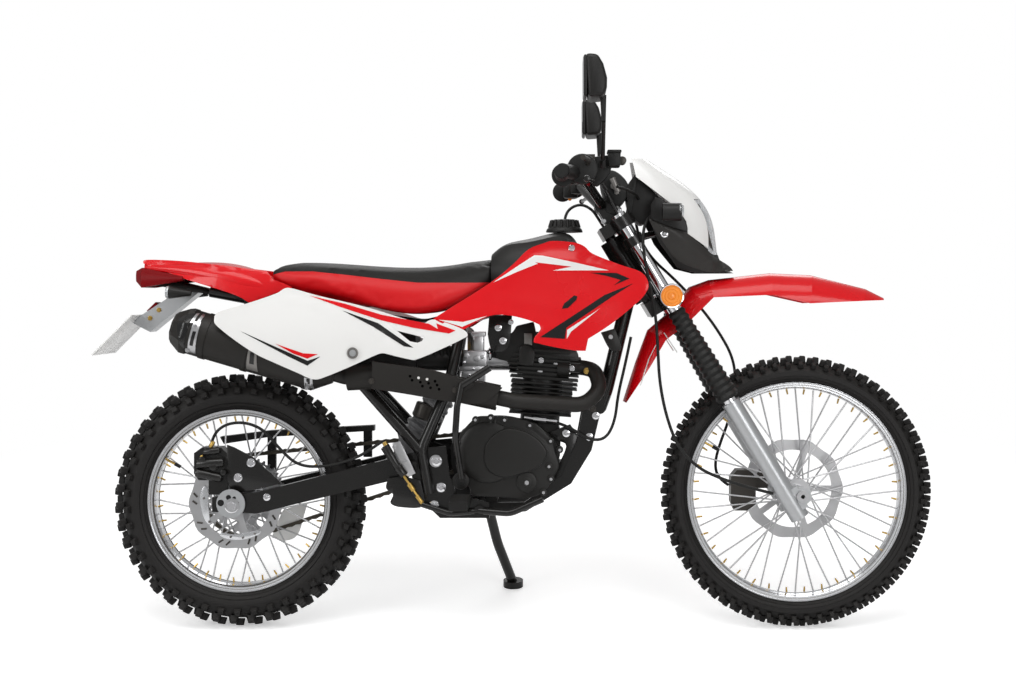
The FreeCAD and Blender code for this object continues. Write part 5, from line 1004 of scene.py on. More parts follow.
def stroke(start, end, y, radius, lift=0.0, sides=20):
    """A rod between two pixels, on the plane y or a little in front of it."""
    (x0, z0), (x1, z1) = from_photo(*start, y), from_photo(*end, y)
    return rod((x0, y - lift, z0), (x1, y - lift, z1), radius, sides=sides)


def disc(u, v, radius, thick, y=None, soften=0.0, back=2.0):
    """A round boss facing right on the first solid seen through a pixel, or on a plane."""
    if y is None:
        x, y, z = seen(u, v)
    else:
        x, z = from_photo(u, v, y)
    return softened(rod((x, y + back, z), (x, y - thick, z), radius, sides=32), soften)


def flat(pixels, y, thick, soften=0.0, curved=True, back=2.0, segments=2):
    """A plate whose outline is given in pixels on the plane y, standing out to the right of it."""
    spots = traced(pixels, y)
    spots = rounded(spots, 4) if curved else [p[:2] for p in spots]
    return slab(spots, y + back, y - thick, soften, segments)


def sharp(*pixels):
    """An outline in pixels with every corner sharp."""
    return [(u, v, 1) for u, v in pixels]


def about_centre(pixels, share):
    """An outline in pixels grown about its middle."""
    u = sum(p[0] for p in pixels) / len(pixels)
    v = sum(p[1] for p in pixels) / len(pixels)
    return [(u + (p[0] - u) * share, v + (p[1] - v) * share) for p in pixels]


def across(side, near, far):
    """Two places across the machine on one side, the lower first."""
    return min(side * near, side * far), max(side * near, side * far)


# Clutch cover, its domes, bosses and bolts

COVER_EDGE = [(458.5, 441), (461, 432.5), (475, 418), (486, 416), (506, 415.8), (529, 421), (539.5, 426),
              (551, 439.5), (554.5, 451), (558.5, 466), (554, 474.5), (544.5, 491), (526, 498), (500, 497),
              (472.5, 495), (470, 489), (463, 474), (458, 462.5), (457, 451)]
EGG_EDGE = [(483.6, 454.4), (486.1, 442.8), (496.1, 432), (509.3, 427.5), (525.9, 431.2), (539.2, 439.5),
            (547.1, 451.1), (544.1, 459.4), (535.9, 467.7), (520.9, 473.5), (502.7, 476.8), (489.4, 471),
            (484.5, 462.7)]
COVER_BOLTS = ((475.3, 419.5), (490.5, 417.4), (504.5, 419.6), (529.7, 425), (550.4, 440.6), (559.6, 449.4),
               (548.8, 466), (550.8, 478.4), (543.3, 491.8), (458.2, 442))
COVER_PLUG, KICK_BOSS = (526.7, 481.7), (460.7, 480.5)

cover_face = seen(513, 452).y
parts = [(flat(COVER_EDGE, cover_face, 3, 2.2, back=16), 0)]
dome_x, dome_z = from_photo(488, 452, cover_face)
dome = turned([(0, 9), (56, 9), (68, 7.4), (75, 3.6), (77, 0)], steps=56)
parts.append((placed(dome, at_place(dome_x, cover_face - 2, dome_z, (0, -1, 0))), 0))
parts.append((flat(about_centre(EGG_EDGE, 1.045), cover_face, 8, 1.6), 0))
parts.append((flat(EGG_EDGE, cover_face, 15, 5, segments=4), 0))
parts.append((disc(*COVER_PLUG, 25, 10, cover_face, 2.0), 0))
parts.append((disc(*COVER_PLUG, 12, 11.5, cover_face, 0.6), 0))
parts.append((hexagon(*COVER_PLUG, cover_face, 6.5, 5, 11), 1))
for u in (490.2, 495):
    rib = sharp((u - 1, 418.5), (u + 1, 418.5), (u + 1, 439), (u - 1, 439))
    parts.append((flat(rib, cover_face, 7, 1.2, curved=False), 0))
rib = sharp((529, 426), (533, 423.5), (550, 437.5), (547.5, 441))
parts.append((flat(rib, cover_face, 6, 1.4, curved=False), 0))
for spot in COVER_BOLTS:
    parts.append((disc(*spot, 8.5, 7, cover_face, 1.5, back=12), 0))
    parts.append((hexagon(*spot, cover_face, 4.6, 4, 7), 1))
parts.append((disc(*KICK_BOSS, 21, 9, cover_face, 2.0, back=10), 0))
parts.append((disc(*KICK_BOSS, 13, 15, cover_face, 1.5, back=10), 2))
piece("clutch_cover_detail", parts, [ENGINE_PAINT, CHROME, SOFT_RUBBER], "chassis")

# Carburettor, intake boot and clamps

CARB_BLOCKS = (((472.6, 333.5), (484, 352), 16, 5), ((471, 331.5), (485.6, 336.5), 20, 2.5),
               ((462, 350), (487, 367), 20, 5), ((459.5, 366), (484.5, 371), 24, 1.5),
               ((461, 370), (483, 379), 20, 4), ((466, 378), (478, 384), 12, 2))
CARB_BOSSES = ((466.5, 355, 7, 14, 0), (477, 358, 9, 12, 0), (483, 356.5, 5, 16, 1), (473, 368.5, 4, 14, 1),
               (464, 362, 4, 16, 1), (478, 374, 6, 11, 0), (469, 374.5, 3.5, 12, 1))
BOOT_STEPS, INTAKE_PLANE = 22, -60

carb_y = seen(475, 372, lost=INTAKE_PLANE).y
parts = []
for upper, lower, depth, soft in CARB_BLOCKS:
    (x0, z0), (x1, z1) = from_photo(*upper, carb_y), from_photo(*lower, carb_y)
    parts.append((block((x0, carb_y - depth * 0.35, z1), (x1, carb_y + depth, z0), soft), 0))
for u, v, radius, thick, paint in CARB_BOSSES:
    parts.append((softened(peg(u, v, carb_y + 4, carb_y - thick, radius, 20, carb_y), 0.8), paint))
(x0, z0), (x1, z1) = from_photo(420, 360, INTAKE_PLANE), from_photo(457, 354, INTAKE_PLANE)
boot_axis = Vector((x1 - x0, 0, z1 - z0))
bellows = [(0, 0)]
for i in range(BOOT_STEPS + 1):
    share = i / BOOT_STEPS
    bellows.append((25 - 2.5 * share + (2.2 if i % 4 < 2 else -0.8), share * boot_axis.length))
bellows.append((0, boot_axis.length))
boot_y = carb_y + 26
parts.append((placed(turned(bellows, steps=36), at_place(x0, boot_y, z0, boot_axis)), 2))
band = turned([(23.5, -5), (26, -5), (26, 5), (23.5, 5)], steps=36, closed=True)
parts.append((placed(band, at_place(x1, boot_y, z1, boot_axis)), 3))
parts.append((bolt(x1, boot_y - 26, z1 - 6, 4, height=8), 3))
sleeve_x, sleeve_z = from_photo(487.5, 357, INTAKE_PLANE)
sleeve_long = from_photo(514, 356, INTAKE_PLANE)[0] - sleeve_x
sleeve = turned([(0, 0), (20, 0), (22, 2), (22, 8), (20.6, 10), (21.5, 26), (24, sleeve_long),
                 (0, sleeve_long)],
                steps=32)
sleeve_place = at_place(sleeve_x, seen(503, 357, lost=INTAKE_PLANE).y + 20, sleeve_z, (1, 0, 0))
parts.append((placed(sleeve, sleeve_place), 2))
ring = turned([(21, 2), (23.5, 2), (23.5, 7), (21, 7)], steps=32, closed=True)
parts.append((placed(ring, sleeve_place), 1))
piece("carburettor_detail", parts, [CAST, CHROME, SOFT_RUBBER, BRASS], "chassis")

# Heat shield over the exhaust pipe, with its bolts, and discs painted on it for its holes: dark ones as
# painted shade, two pale ones as painted light seen through

SHIELD_EDGE = [(372, 360.5, 1), (380, 362.5), (430, 369.8), (463, 379), (493, 385), (502, 388, 1),
               (500, 390), (490, 399), (481, 403), (473, 403.6), (449, 401.5), (413, 395), (372, 388.5, 1)]
SHIELD_BEND = [(455, 380, 1), (462, 380), (474, 384), (466, 390), (455, 396, 1)]
SHIELD_HOLES = ((410, 376), (418.5, 377.6), (427, 379), (435, 381), (412, 380), (420.3, 381.9), (428.5, 383),
                (437, 384.8), (422.4, 385.9), (430.5, 387.6), (439, 389))

pipe_face = min(seen(u, v).y for u, v in ((430, 378), (400, 372), (470, 392), (440, 390)))
parts = [(flat(SHIELD_EDGE, pipe_face, 3, 8, back=20, segments=4), 0)]
parts.append((flat(SHIELD_BEND, pipe_face, 4.2, 1.2), 0))
# Each hole is a disc on the shield: dark as painted shade, two pale as painted light seen through them
for i, spot in enumerate(SHIELD_HOLES):
    parts.append((disc(*spot, 3.3, 3.6, pipe_face), 3 if i in (1, 2) else 1))
for spot in ((455, 390), (371.5, 381)):
    parts.append((hexagon(*spot, pipe_face, 5.5, 4, 3, washer=True), 2))
parts.append((stud(592.5, 408.4, 6.5, 4), 2))
piece("heat_shield", parts, [MATT, HOLE_SHADE, DARK_METAL, PLATE], "chassis")

# Bolts of the frame, the engine's hangers and the footrests

FRAME_BOLTS = ((498, 327.5, 8), (502.8, 340.6, 8), (589, 436.7, 8.5), (566, 433.2, 8.5), (595.6, 415.5, 8.5),
               (557.7, 473.6, 8.5), (436.4, 461, 11), (441, 487.2, 10.5), (434, 505, 10.5),
               (425.7, 414.7, 11), (395.2, 486, 9.5), (397, 500, 9.5), (266.8, 497, 8))

parts = []
for u, v, radius in FRAME_BOLTS:
    x, y, z = seen(u, v)
    parts.append((softened(rod((x, y + 1, z), (x, y - 2.2, z), radius * 1.12, sides=28), 0.6), 0))
    parts.append((bolt(x, y - 1.6, z, radius * 0.66, washer=False, height=6), 0))
piece("frame_bolts", parts, [CHROME], "chassis")

# Cap over the shock absorber's coils

cap_x, cap_z = from_photo(427, 404, -20)
cap = turned([(0, 0), (24, 0), (27, 3), (27, 36), (20, 40), (0, 40)], steps=32)
piece("shock_cap", placed(cap, at_place(cap_x, -20, cap_z, (-0.35, 0, -0.94))), [DARK_METAL], "chassis")

# Rear master cylinder with its rod

CYLINDER_RODS = (((385.5, 445), (400, 470), 9.5, 0), ((398, 466), (404.5, 475), 11, 0),
                 ((384.5, 441.5), (388, 448), 6.5, 2), ((403, 474), (421.5, 501), 3.2, 2),
                 ((409, 483), (414, 490), 6.5, 2), ((417, 495), (422.5, 502.5), 5.5, 3))

y = seen(398, 470, lost=-150).y - 8
parts = [(flat(sharp((392, 443), (400, 441), (415.5, 473), (408, 476.5), (398, 470)), y, 3, 0.8,
               curved=False), 1)]
for start, end, radius, paint in CYLINDER_RODS:
    parts.append((softened(stroke(start, end, y, radius, 8), 1.0), paint))
for spot in ((394.5, 446.5), (404.8, 461)):
    parts.append((hexagon(*spot, y, 4, 4, 3, washer=True), 1))
piece("rear_master_cylinder", parts, [FRAME_PAINT, STEEL, BRASS, BRASS], "chassis")

# Hanger and cradle plates that carry the bolts

BOLT_PLATES = (
    ([(489, 316, 1), (512, 314, 1), (511, 330, 1), (508.5, 346), (500, 352), (491, 349), (487.5, 334, 1)],
     -46),
    ([(549, 432, 1), (570, 424, 1), (578, 440), (572, 470), (563, 484, 1), (551, 488, 1), (556, 470),
      (566, 446), (557, 440)], -62),
    ([(388, 478, 1), (402, 476, 1), (420, 480, 1), (424, 505), (402, 507), (390.5, 503), (393, 494),
      (386, 488)], -118))
piece("bolt_plates", [(flat(outline, y, 4, 0.8), 0) for outline, y in BOLT_PLATES], [FRAME_PAINT], "chassis")


# Hoses and control cables, each one smooth curve along its route

def hoses(name, body, routes, thick):
    """A node's hoses as curves through the points that the solids follow."""
    data = bpy.data.curves.new(name, "CURVE")
    data.dimensions = "3D"
    data.bevel_depth = thick / 2 * MM
    data.bevel_resolution = 4
    data.resolution_u = 10
    data.use_fill_caps = True
    for route in routes:
        line = data.splines.new("NURBS")
        line.points.add(len(route) - 1)
        for point, spot in zip(line.points, route):
            point.co = (*(lean @ (Vector(spot) * MM)), 1)
        line.order_u = 3
        line.use_endpoint_u = True
    data.materials.append(SOFT_RUBBER)
    made = bpy.data.objects.new(name, data)
    bpy.context.scene.collection.objects.link(made)
    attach(made, body)
    return made


FRONT_BRAKE_ROUTE = [(950, -214, 1098), (974, -170, 1096), (1000, -110, 1086), (1012, -40, 1076),
                     (1013, 40, 1064), (1008, 104, 1044), (1018, 131, 995), (1052, 134, 935),
                     (1110, 134, 884), (1168, 134, 824), (1226, 134, 750), (1272, 134, 668),
                     (1274, 134, 588), (1258, 134, 510), (1232, 124, 446), (1216, 100, 398), (1222, 74, 362),
                     (1247.9, 60.9, 346.1)]
SPEEDO_ROUTE = [(1090.5, -15.2, 1016.8), (1066, -50, 1040), (1030, -98, 1034), (1014, -128, 985),
                (1022, -133, 915), (1036, -132, 850), (1049, -126, 780), (1054, -120, 700),
                (1058, -114, 625), (1073, -110, 545), (1100, -108, 468), (1150, -106, 410),
                (1215, -103, 380), (1285, -99, 358), (1341.9, -97.1, 343.9)]
VENT_ROUTE = [(823, 0, 1015.5), (824, 0, 1038), (838, 0, 1060), (866, 0, 1070), (894, 0, 1056),
              (910, 0, 1032), (923.4, 0, 1010.4)]
CLUTCH_ROUTE = [(991, -38.6, 732), (977, -43, 665), (958, -50, 588), (950, -58, 520),
                (926, -72, 476), (884, -84, 476), (846, -86, 502), (800, -82, 522), (740.4, -82, 529)]
REAR_BRAKE_ROUTE = [(-62, -68, 458.7), (-58, -68, 486), (-28, -68, 514), (22, -69, 520), (72, -70, 500),
                    (112, -73, 450), (160, -82, 410), (230, -92, 410), (300, -106, 430), (348, -122, 458),
                    (371, -127, 474.8)]
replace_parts(hoses("fork_hoses", "fork", [FRONT_BRAKE_ROUTE, SPEEDO_ROUTE], 7.6), "fork_hoses")
chassis_lines = hoses("chassis_hoses", "chassis", [VENT_ROUTE, CLUTCH_ROUTE, REAR_BRAKE_ROUTE], 7.4)
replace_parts(chassis_lines, "chassis_hoses")

# Mirrors on their stems: the left one stands a little further forward and lower

MIRROR_SIDE = [(870, 1388), (898, 1386.5), (911, 1364), (919.5, 1332), (919, 1310), (913, 1291), (876, 1288)]
MIRROR_INNER, MIRROR_OUTER = 298, 422

parts = []
for side, dx, dz in ((-1, 0, 0), (1, 8, -11)):
    low, high = across(side, MIRROR_INNER, MIRROR_OUTER)
    parts.append((slab([(x + dx, z + dz) for x, z in MIRROR_SIDE], low, high, 9, segments=3), 0))
    parts.append((block((866 + dx, low + 3, 1291 + dz), (874 + dx, high - 3, 1385 + dz), 3.5), 0))
    parts.append((block((864.6 + dx, low + 8, 1296 + dz), (867 + dx, high - 8, 1380 + dz)), 1))
    foot = Vector((914 + dx * 0.6, side * 238, 1150))
    knee = Vector((913 + dx, side * 352, 1240 + dz))
    head = Vector((912 + dx, side * 358, 1300 + dz))
    parts.append((rod(foot, knee, 5.2), 0))
    parts.append((rod(knee, head, 5.2, 7.5), 0))
    nut = rod(foot - Vector((0, 0, 6)), foot + (knee - foot) * 0.12, 8.5, sides=6)
    parts.append((softened(nut, 0.8), 0))
piece("mirrors", parts, [BLACK, MIRROR], "fork", stands_for=("mirrors",))

# Grips' ribs, twist housing, lever perches, levers and buttons

GRIP_RIBS, RIB_STEP = 9, 11

parts = []
gx, gz = from_photo(562, 170.8, -400)
px, pz = gx + 30, gz + 2
for side in (-1, 1):
    for i in range(GRIP_RIBS):
        y = side * (392 - i * RIB_STEP)
        parts.append((softened(rod((gx, y, gz), (gx, y - side * 6, gz), 17.6, sides=28), 1.0), 0))
    parts.append((softened(rod((gx + 2, side * 288, gz), (gx + 2, side * 279, gz), 27, sides=32), 1.5), 0))
    low, high = across(side, 232, 270)
    parts.append((block((px - 26, low, pz - 22), (px + 14, high, pz + 18), 6), 0))
    low, high = across(side, 206, 236)
    parts.append((block((px - 6, low, pz - 12), (px + 30, high, pz + 20), 4), 0))
    root = Vector((px + 34, side * 238, pz - 8))
    bend = Vector((px + 42, side * 300, pz - 16))
    tip = Vector((px + 26, side * 404, pz - 20))
    parts.append((rod(root, bend, 6, 5.2, sides=14), 1))
    parts.append((rod(bend, tip, 5.2, 4.6, sides=14), 1))
    ball = rod(tip - Vector((0, side * 3, 0)), tip + Vector((0, side * 9, 0)), 7.5, sides=16)
    parts.append((softened(ball, 2.5), 1))
(x0, z0), (x1, z1) = from_photo(607.5, 152.5, -215), from_photo(620, 167.5, -215)
parts.append((block((x0, -250, z1), (x1, -196, z0), 5), 0))
parts.append((block((x0 - 2, -253, z0 - 3), (x1 + 2, -193, z0 + 4), 2.5), 0))
parts.append((disc(622, 160.5, 10, 10, -215, 2, back=20), 2))
parts.append((disc(582, 169, 36, 12, -283, 3.0, back=12), 0))
parts.append((disc(562.2, 171, 5, 1.0, -401), 3))
parts.append((peg(569.6, 199, 262, 252, 5.5, plane=268), 4))
parts.append((peg(588, 184, -246, -256, 4.5, plane=-250), 5))
piece("hand_control_detail", parts, [SOFT_RUBBER, FRAME_PAINT, DARK_METAL, GLOSS_BLACK, AMBER, TAIL_RED],
      "fork")

# Lamp shell behind the mask, its inner panel, the instruments and their bolts

SHELL_EDGE = [(626, 190), (632, 178, 1), (636, 172, 1), (641, 179), (656, 194), (661, 200, 1), (652, 204),
              (650, 219, 1), (641, 224), (630, 212)]
MASK_SHADE_EDGE = [(650.5, 205, 1), (655, 197, 1), (661, 200), (672, 208), (681, 214), (686.5, 224),
              (687.5, 232, 1), (669, 226, 1), (651, 219, 1)]
LINER_EDGE = [(625, 214, 1), (631, 190), (634, 177, 1), (637, 178, 1), (634, 196), (630, 216, 1)]

# The dark plate inside the mask, from its rear edge to the beak, is painted shade over the mask's inner wall
parts = [(flat(SHELL_EDGE, -58, 4, 6, back=112, segments=3), 0), (flat(MASK_SHADE_EDGE, -112, 3, 1.4), 0),
         (flat(LINER_EDGE, -62, 3, 1.2), 1)]
for spot in ((604, 221), (619, 212), (636.5, 213.5)):
    parts.append((stud(*spot, 6, 5), 2))
for u, v, radius in ((613.5, 186, 9), (616.5, 192, 7)):
    parts.append((softened(peg(u, v, -40, -64, radius, 6, -60), 1), 3))
piece("lamp_shell", parts, [BLACK, SOFT_RUBBER, CHROME, GREY_METAL], "fork")

# Front indicators' clear ends and the beak's bolts

LENS_RINGS = 3

parts = []
x, z = from_photo(679, 211, -150)
y = abs(seen(671, 211).y) - 16
bolt_x, bolt_z = from_photo(664.5, 233.5, -110)
bolt_y = abs(seen(664.5, 233.5).y)
for side in (-1, 1):
    parts.append((softened(rod((x - 2, side * y, z), (x + 9, side * y, z), 16.5, 14, sides=28), 1.5), 0))
    for i in range(LENS_RINGS):
        start = x + 1 + i * 3
        parts.append((rod((start, side * y, z), (start + 1.2, side * y, z), 16.9 - i * 0.8, sides=28), 0))
    ring = turned([(5.5, 0), (9.5, 0), (9.5, 2.4), (7.5, 3.4), (5.5, 2.2)], steps=32, closed=True)
    parts.append((on_side(ring, bolt_x, bolt_y, bolt_z, side), 1))
    parts.append((bolt(bolt_x, side * bolt_y, bolt_z, 4.6, (0, side, 0), washer=False, height=3), 1))
piece("head_trim", parts, [GLASS, CHROME], "fork")

# The beak's facets, and a dark band on the lens as a painted reflection

BEAK_EDGE = [(648.5, 219.5, 1), (654, 219, 1), (670, 227), (688, 233.5), (715, 254.5), (731, 264.8),
             (735.8, 270.3, 1), (709.5, 271.8, 1), (688, 265), (674, 256.5), (662, 240.5), (653, 228.5)]
BEAK_RIDGES = ((((649, 221), (672, 232), (714, 260), (734, 269)), 5.0, 8),
               (((714, 260), (712.5, 271)), 3.0, 7))
LENS_REFLECTION_BAND = [(693, 203), (699, 204), (703, 214), (708, 230), (714, 251), (710, 247), (704, 233), (698, 217)]

beak_relief = relief(*[ridge(traced(line, BEAK_Y), high, wide) for line, high, wide in BEAK_RIDGES])
near_beak, _ = panel(skin_of("headlight_beak"), traced(BEAK_EDGE, BEAK_Y), 7, 2.4, beak_relief, soften=0.8,
                     proud=0.6)
piece("beak_facets", both_sides(near_beak), [BEAK_BLACK], "fork")
# Painted reflection: a dark film laid on the outside of the clear lens
dark = film(skin_of("headlight_lens"), LENS_REFLECTION_BAND, LENS_Y, proud=0.8, wall=0.8, spacing=5)
piece("lens_painted_reflection", both_sides(dark), [DARK_METAL], "fork")

# Side reflectors' rings

REFLECTOR = (671.7, 295.8)

parts = []
y = abs(seen(*REFLECTOR).y)
x, z = from_photo(*REFLECTOR, -y)
for side in (-1, 1):
    ring = turned([(26.5, -8), (30, -8), (30.5, 1), (29, 3), (27, 2)], steps=48, closed=True)
    parts.append((on_side(ring, x, y, z, side), 0))
    for radius in (9, 17, 24):
        step = turned([(radius - 1.5, -0.2), (radius, 1.4), (radius + 1.5, -0.2)], steps=40)
        parts.append((on_side(step, x, y, z, side), 1))
    parts.append((softened(rod((x, side * y, z), (x, side * (y + 3.5), z), 4.2, sides=20), 0.8), 1))
piece("reflector_rings", parts, [CHROME, AMBER], "fork")

# Fuel cap with its grip ribs

CAP_X, CAP_RIBS = 823, 14

cap = turned([(0, 1030), (27, 1030), (33, 1027), (35.5, 1013), (44, 1006), (46.5, 1001), (46.5, 997.5),
              (0, 997.5)],
             steps=72)
parts = [(placed(cap, Matrix.Translation((CAP_X * MM, 0, 0))), 0)]
for i in range(CAP_RIBS):
    turn = 2 * math.pi * i / CAP_RIBS
    ends = [(CAP_X + out * math.cos(turn), out * math.sin(turn), z) for out, z in ((33, 1028), (38, 1009))]
    parts.append((rod(*ends, 3.4, 4.2, sides=8), 0))
piece("fuel_cap", parts, [BLACK], "chassis", stands_for=("fuel_cap",))

# Muffler's straps, strips and glossy end

MUFFLER_FILMS = (
    (0, ((193, 313.4), (195.8, 313.2), (191.8, 323), (188.6, 322.6)), 1.2),
    (0, ((199, 313.6), (201.9, 314), (197.8, 323.6), (194.6, 323.2)), 1.2),
    (0, ((192.6, 321), (199.4, 322.2), (192.4, 354.2), (184.2, 352.2)), 1.6),
    (1, ((192.2, 331), (195.6, 331.5), (191.2, 346), (187.8, 345.4)), 2.2),
    (2, ((248.5, 347), (256.2, 351.5), (255.5, 372.5), (243.8, 369.5)), 1.6),
    (1, ((250.2, 351), (254, 353), (252.6, 364.8), (248, 363.6)), 2.2),
    (0, ((303.6, 377.5), (311.6, 379), (311, 391), (302.6, 388)), 1.6),
    (1, ((306, 378.5), (309.3, 379), (308.6, 384.6), (305.2, 383.8)), 2.2),
    (1, ((176, 318.5), (184, 314), (193, 312.8), (187.5, 327), (181.5, 349), (178.5, 346), (175.5, 330)),
     0.7))

muffler_skin = skin_of("muffler")
parts = [(film(muffler_skin, outline, MUFFLER_Y, proud, proud + 0.4, 6), paint)
         for paint, outline, proud in MUFFLER_FILMS]
for u, v, radius in ((187.6, 349.8, 4.5), (195, 326, 3.5), (306.5, 387.8, 3.5)):
    parts.append((stud(u, v, radius, 3, 2), 0))
piece("muffler_straps", parts, [STEEL, GLOSS_BLACK, GREY_METAL], "chassis")

# The tail's studs, the plate lamp and its bracket's rivets

parts = []
for u in (161.4, 164.9, 168.6):
    for y in (-34, 34):
        x, z = from_photo(u, 260.6, y)
        parts.append((softened(rod((x, y, z - 8), (x, y, z), 3.6, sides=12), 0.6), 0))
lamp_edge = sharp((146.4, 310.6), (149, 313.2), (158.2, 304.8), (155.4, 301.8))
parts.append((flat(lamp_edge, -24, 0, 1.0, curved=False, back=48), 1))
for spot in ((158.8, 309.8), (150, 318)):
    parts.append((stud(*spot, 4.5, 3), 2))
piece("tail_trim", parts, [BLACK, TAIL_RED, BRASS], "chassis")

# Chain slider

SLIDER_EDGE = [(308, 502, 1), (304.4, 513.4), (297.7, 534.4), (285.3, 540.2), (272, 537, 1), (276.7, 524),
               (283.4, 509.5, 1)]
piece("chain_slider", flat(SLIDER_EDGE, 72, 8, 1.5), [WHITE], "chassis")

# Painted highlights: thin white lines along the front fender's creases

FENDER_HIGHLIGHTS = (((663, 332.6), (664, 332.4), (676.8, 351.6), (675.8, 352.3)),
                ((648, 359), (649, 359.3), (640.6, 385.4), (639.8, 384.8)),
                ((655.4, 344.4), (656, 344.8), (647.8, 361), (647.2, 360.4)))

fender_skin = skin_of("front_fender")
parts = []
# White films laid on the fender as painted highlights along its creases
for outline in FENDER_HIGHLIGHTS:
    parts += both_sides(film(fender_skin, outline, FENDER_Y, proud=0.6, wall=0.6, spacing=8))
piece("fender_highlights", parts, [WHITE], "fork")

# Tail cover down to the side panels, and a shallower tray under it

TAIL_EDGE = [(-234, 917, 1), (-225, 926), (-141, 923), (-55, 914), (85, 897, 1), (101, 877, 1), (150, 856),
             (128, 848, 1), (108, 841), (45, 817, 1), (19, 833), (-26, 849), (-123, 878), (-169, 894),
             (-209, 906)]
TAIL_CREASE = [(-225, 921), (-120, 908), (20, 886), (110, 862)]
TRAY_CUT = [(-300, 600), (-300, 872), (-232, 866), (-150, 852), (-60, 838), (40, 812), (70, 790), (70, 600)]

near_tail, _ = panel(skin_of("tail_fairing"), TAIL_EDGE, 10, 2.6, ridge(TAIL_CREASE, 3.0, 9), soften=1.0,
                     proud=4.5, calm=25)
piece("tail_sides", both_sides(near_tail), [RED], "chassis")
tray = bmesh.new()
tray.from_mesh(nodes["rear_fender"].data)
tray.transform(lean.inverted())
tray = carved(tray, slab(TRAY_CUT, -200, 200))
piece("rear_fender", tray, [BLACK], "chassis", stands_for=("rear_fender",))

# Rear indicators

INDICATOR_Y = 92

parts = []
for side in (-1, 1):
    y = side * INDICATOR_Y
    parts.append((softened(rod((-161, y, 844.2), (-106, y, 841.4), 16.4, 6.6, sides=32), 1.0), 0))
    parts.append((softened(rod((-168, y, 844.6), (-160, y, 844.2), 15.2, 16.2, sides=32), 1.0), 1))
piece("rear_indicators", parts, [BLACK, GLASS], "chassis")

# Number plate, blank, turned back on its bracket

PLATE_WIDE, PLATE_TALL, PLATE_THICK, PLATE_TURN = 200, 140, 3.6, math.radians(45)
PLATE_FOOT = (-352, 0, 688)

sheet = block((-PLATE_THICK / 2, -PLATE_WIDE / 2, 0), (PLATE_THICK / 2, PLATE_WIDE / 2, PLATE_TALL), 0.6)
sheet.transform(Matrix.Translation(Vector(PLATE_FOOT) * MM) @ Matrix.Rotation(PLATE_TURN, 4, "Y"))
piece("number_plate", sheet, [WHITE], "chassis", stands_for=("number_plate",))

# Rear brake: its bracket plate, bolts and calliper ribs

BRACKET_EDGE = sharp((227, 444.5), (234, 447), (253, 456.8), (282, 483.2), (262, 488), (240, 492.5),
                     (231, 490), (227, 478))
CALLIPER_RIBS = (((197, 464), (224, 462), 12, 0), ((196, 472), (222, 478), 11, 0),
                 ((204, 452), (220, 450), 9, 0), ((201, 455), (206, 462), 5, 2),
                 ((210, 447), (214, 441), 5.5, 2))

brake_y = seen(215, 470).y
parts = [(flat(BRACKET_EDGE, brake_y + 6, 4, 0.8, curved=False), 0)]
for spot in ((250.7, 462.6), (237.8, 477.5)):
    parts.append((hexagon(*spot, brake_y, 8, 5, -2, washer=True), 1))
for start, end, radius, paint in CALLIPER_RIBS:
    parts.append((softened(stroke(start, end, brake_y, radius, 3, 24), 3.0), paint))
for u, v, radius in ((203, 459, 8), (214, 466, 10), (224, 472, 7)):
    parts.append((disc(u, v, radius, 14, brake_y, 1.5), 0))
piece("rear_brake_detail", parts, [FRAME_PAINT, CHROME, BRASS], "chassis")

# Chain adjuster's round plate with its holes, and the axle's nut

ADJUSTER_HOLES = ((228.6, 497.1, 6.2), (234.3, 497.8, 4.3), (237.9, 502.6, 3.1), (220.8, 502.6, 8.2))

adjuster_y = seen(222, 508).y - 1
x, z = from_photo(230.7, 503.3, adjuster_y)
plate = turned([(0, 0), (34, 0), (35.5, 1.2), (35.5, 4), (0, 4)], steps=48)
parts = [(placed(plate, at_place(x, adjuster_y + 1, z, (0, -1, 0))), 0)]
for u, v, radius in ADJUSTER_HOLES:
    parts.append((peg(u, v, adjuster_y - 2.5, adjuster_y - 3.5, radius, 24, adjuster_y), 2))
parts.append((hexagon(231.7, 505.7, adjuster_y, 13, 9, 3, washer=True), 1))
piece("chain_adjuster", parts, [SILVER, CHROME, GLOSS_BLACK], "chassis")

# Painted highlights as bright crescents on the rear disc, with its small bolts and slots

DISC_HIGHLIGHTS = ([(203.9, 486.5), (207.8, 489.4), (208.4, 505.7), (210, 524), (204, 518), (200.1, 502),
              (200.6, 493)],
             [(220.5, 532.5), (237.4, 534.2), (257.5, 530), (259.8, 533.5), (247, 538.6), (233.6, 539.6),
              (222.1, 536.8)],
             [(256, 482), (262, 488), (266.5, 497), (264, 500), (258, 492), (252.5, 486)])
SLOT_PAIRS, SLOT_OUT, SLOT_IN, SLOT_LEAN = 9, 108, 97, 0.08

disc_face = seen(232, 537).y
slot_y = disc_face - 0.8
# The bright crescents are painted highlights laid on the disc's face
parts = [(flat(outline, disc_face, 1.6, 0.5, back=1), 0) for outline in DISC_HIGHLIGHTS]
for spot in ((204, 498), (209.5, 521.5), (230.8, 536.6), (243, 537.4), (255, 533.4)):
    parts.append((hexagon(*spot, disc_face, 3.2, 2, 1.4), 1))
for i in range(SLOT_PAIRS):
    for step in (-0.09, 0.09):
        turn = 2 * math.pi * (i + 0.3) / SLOT_PAIRS + step
        ends = [(out * math.cos(a), slot_y, REAR_CENTRE[2] + out * math.sin(a))
                for out, a in ((SLOT_OUT, turn), (SLOT_IN, turn + SLOT_LEAN))]
        parts.append((rod(*ends, 2.4, sides=10), 2))
piece("rear_disc_highlights_and_bolts", parts, [RIM_ALLOY, GREY_METAL, DARK_METAL], "rear_wheel")
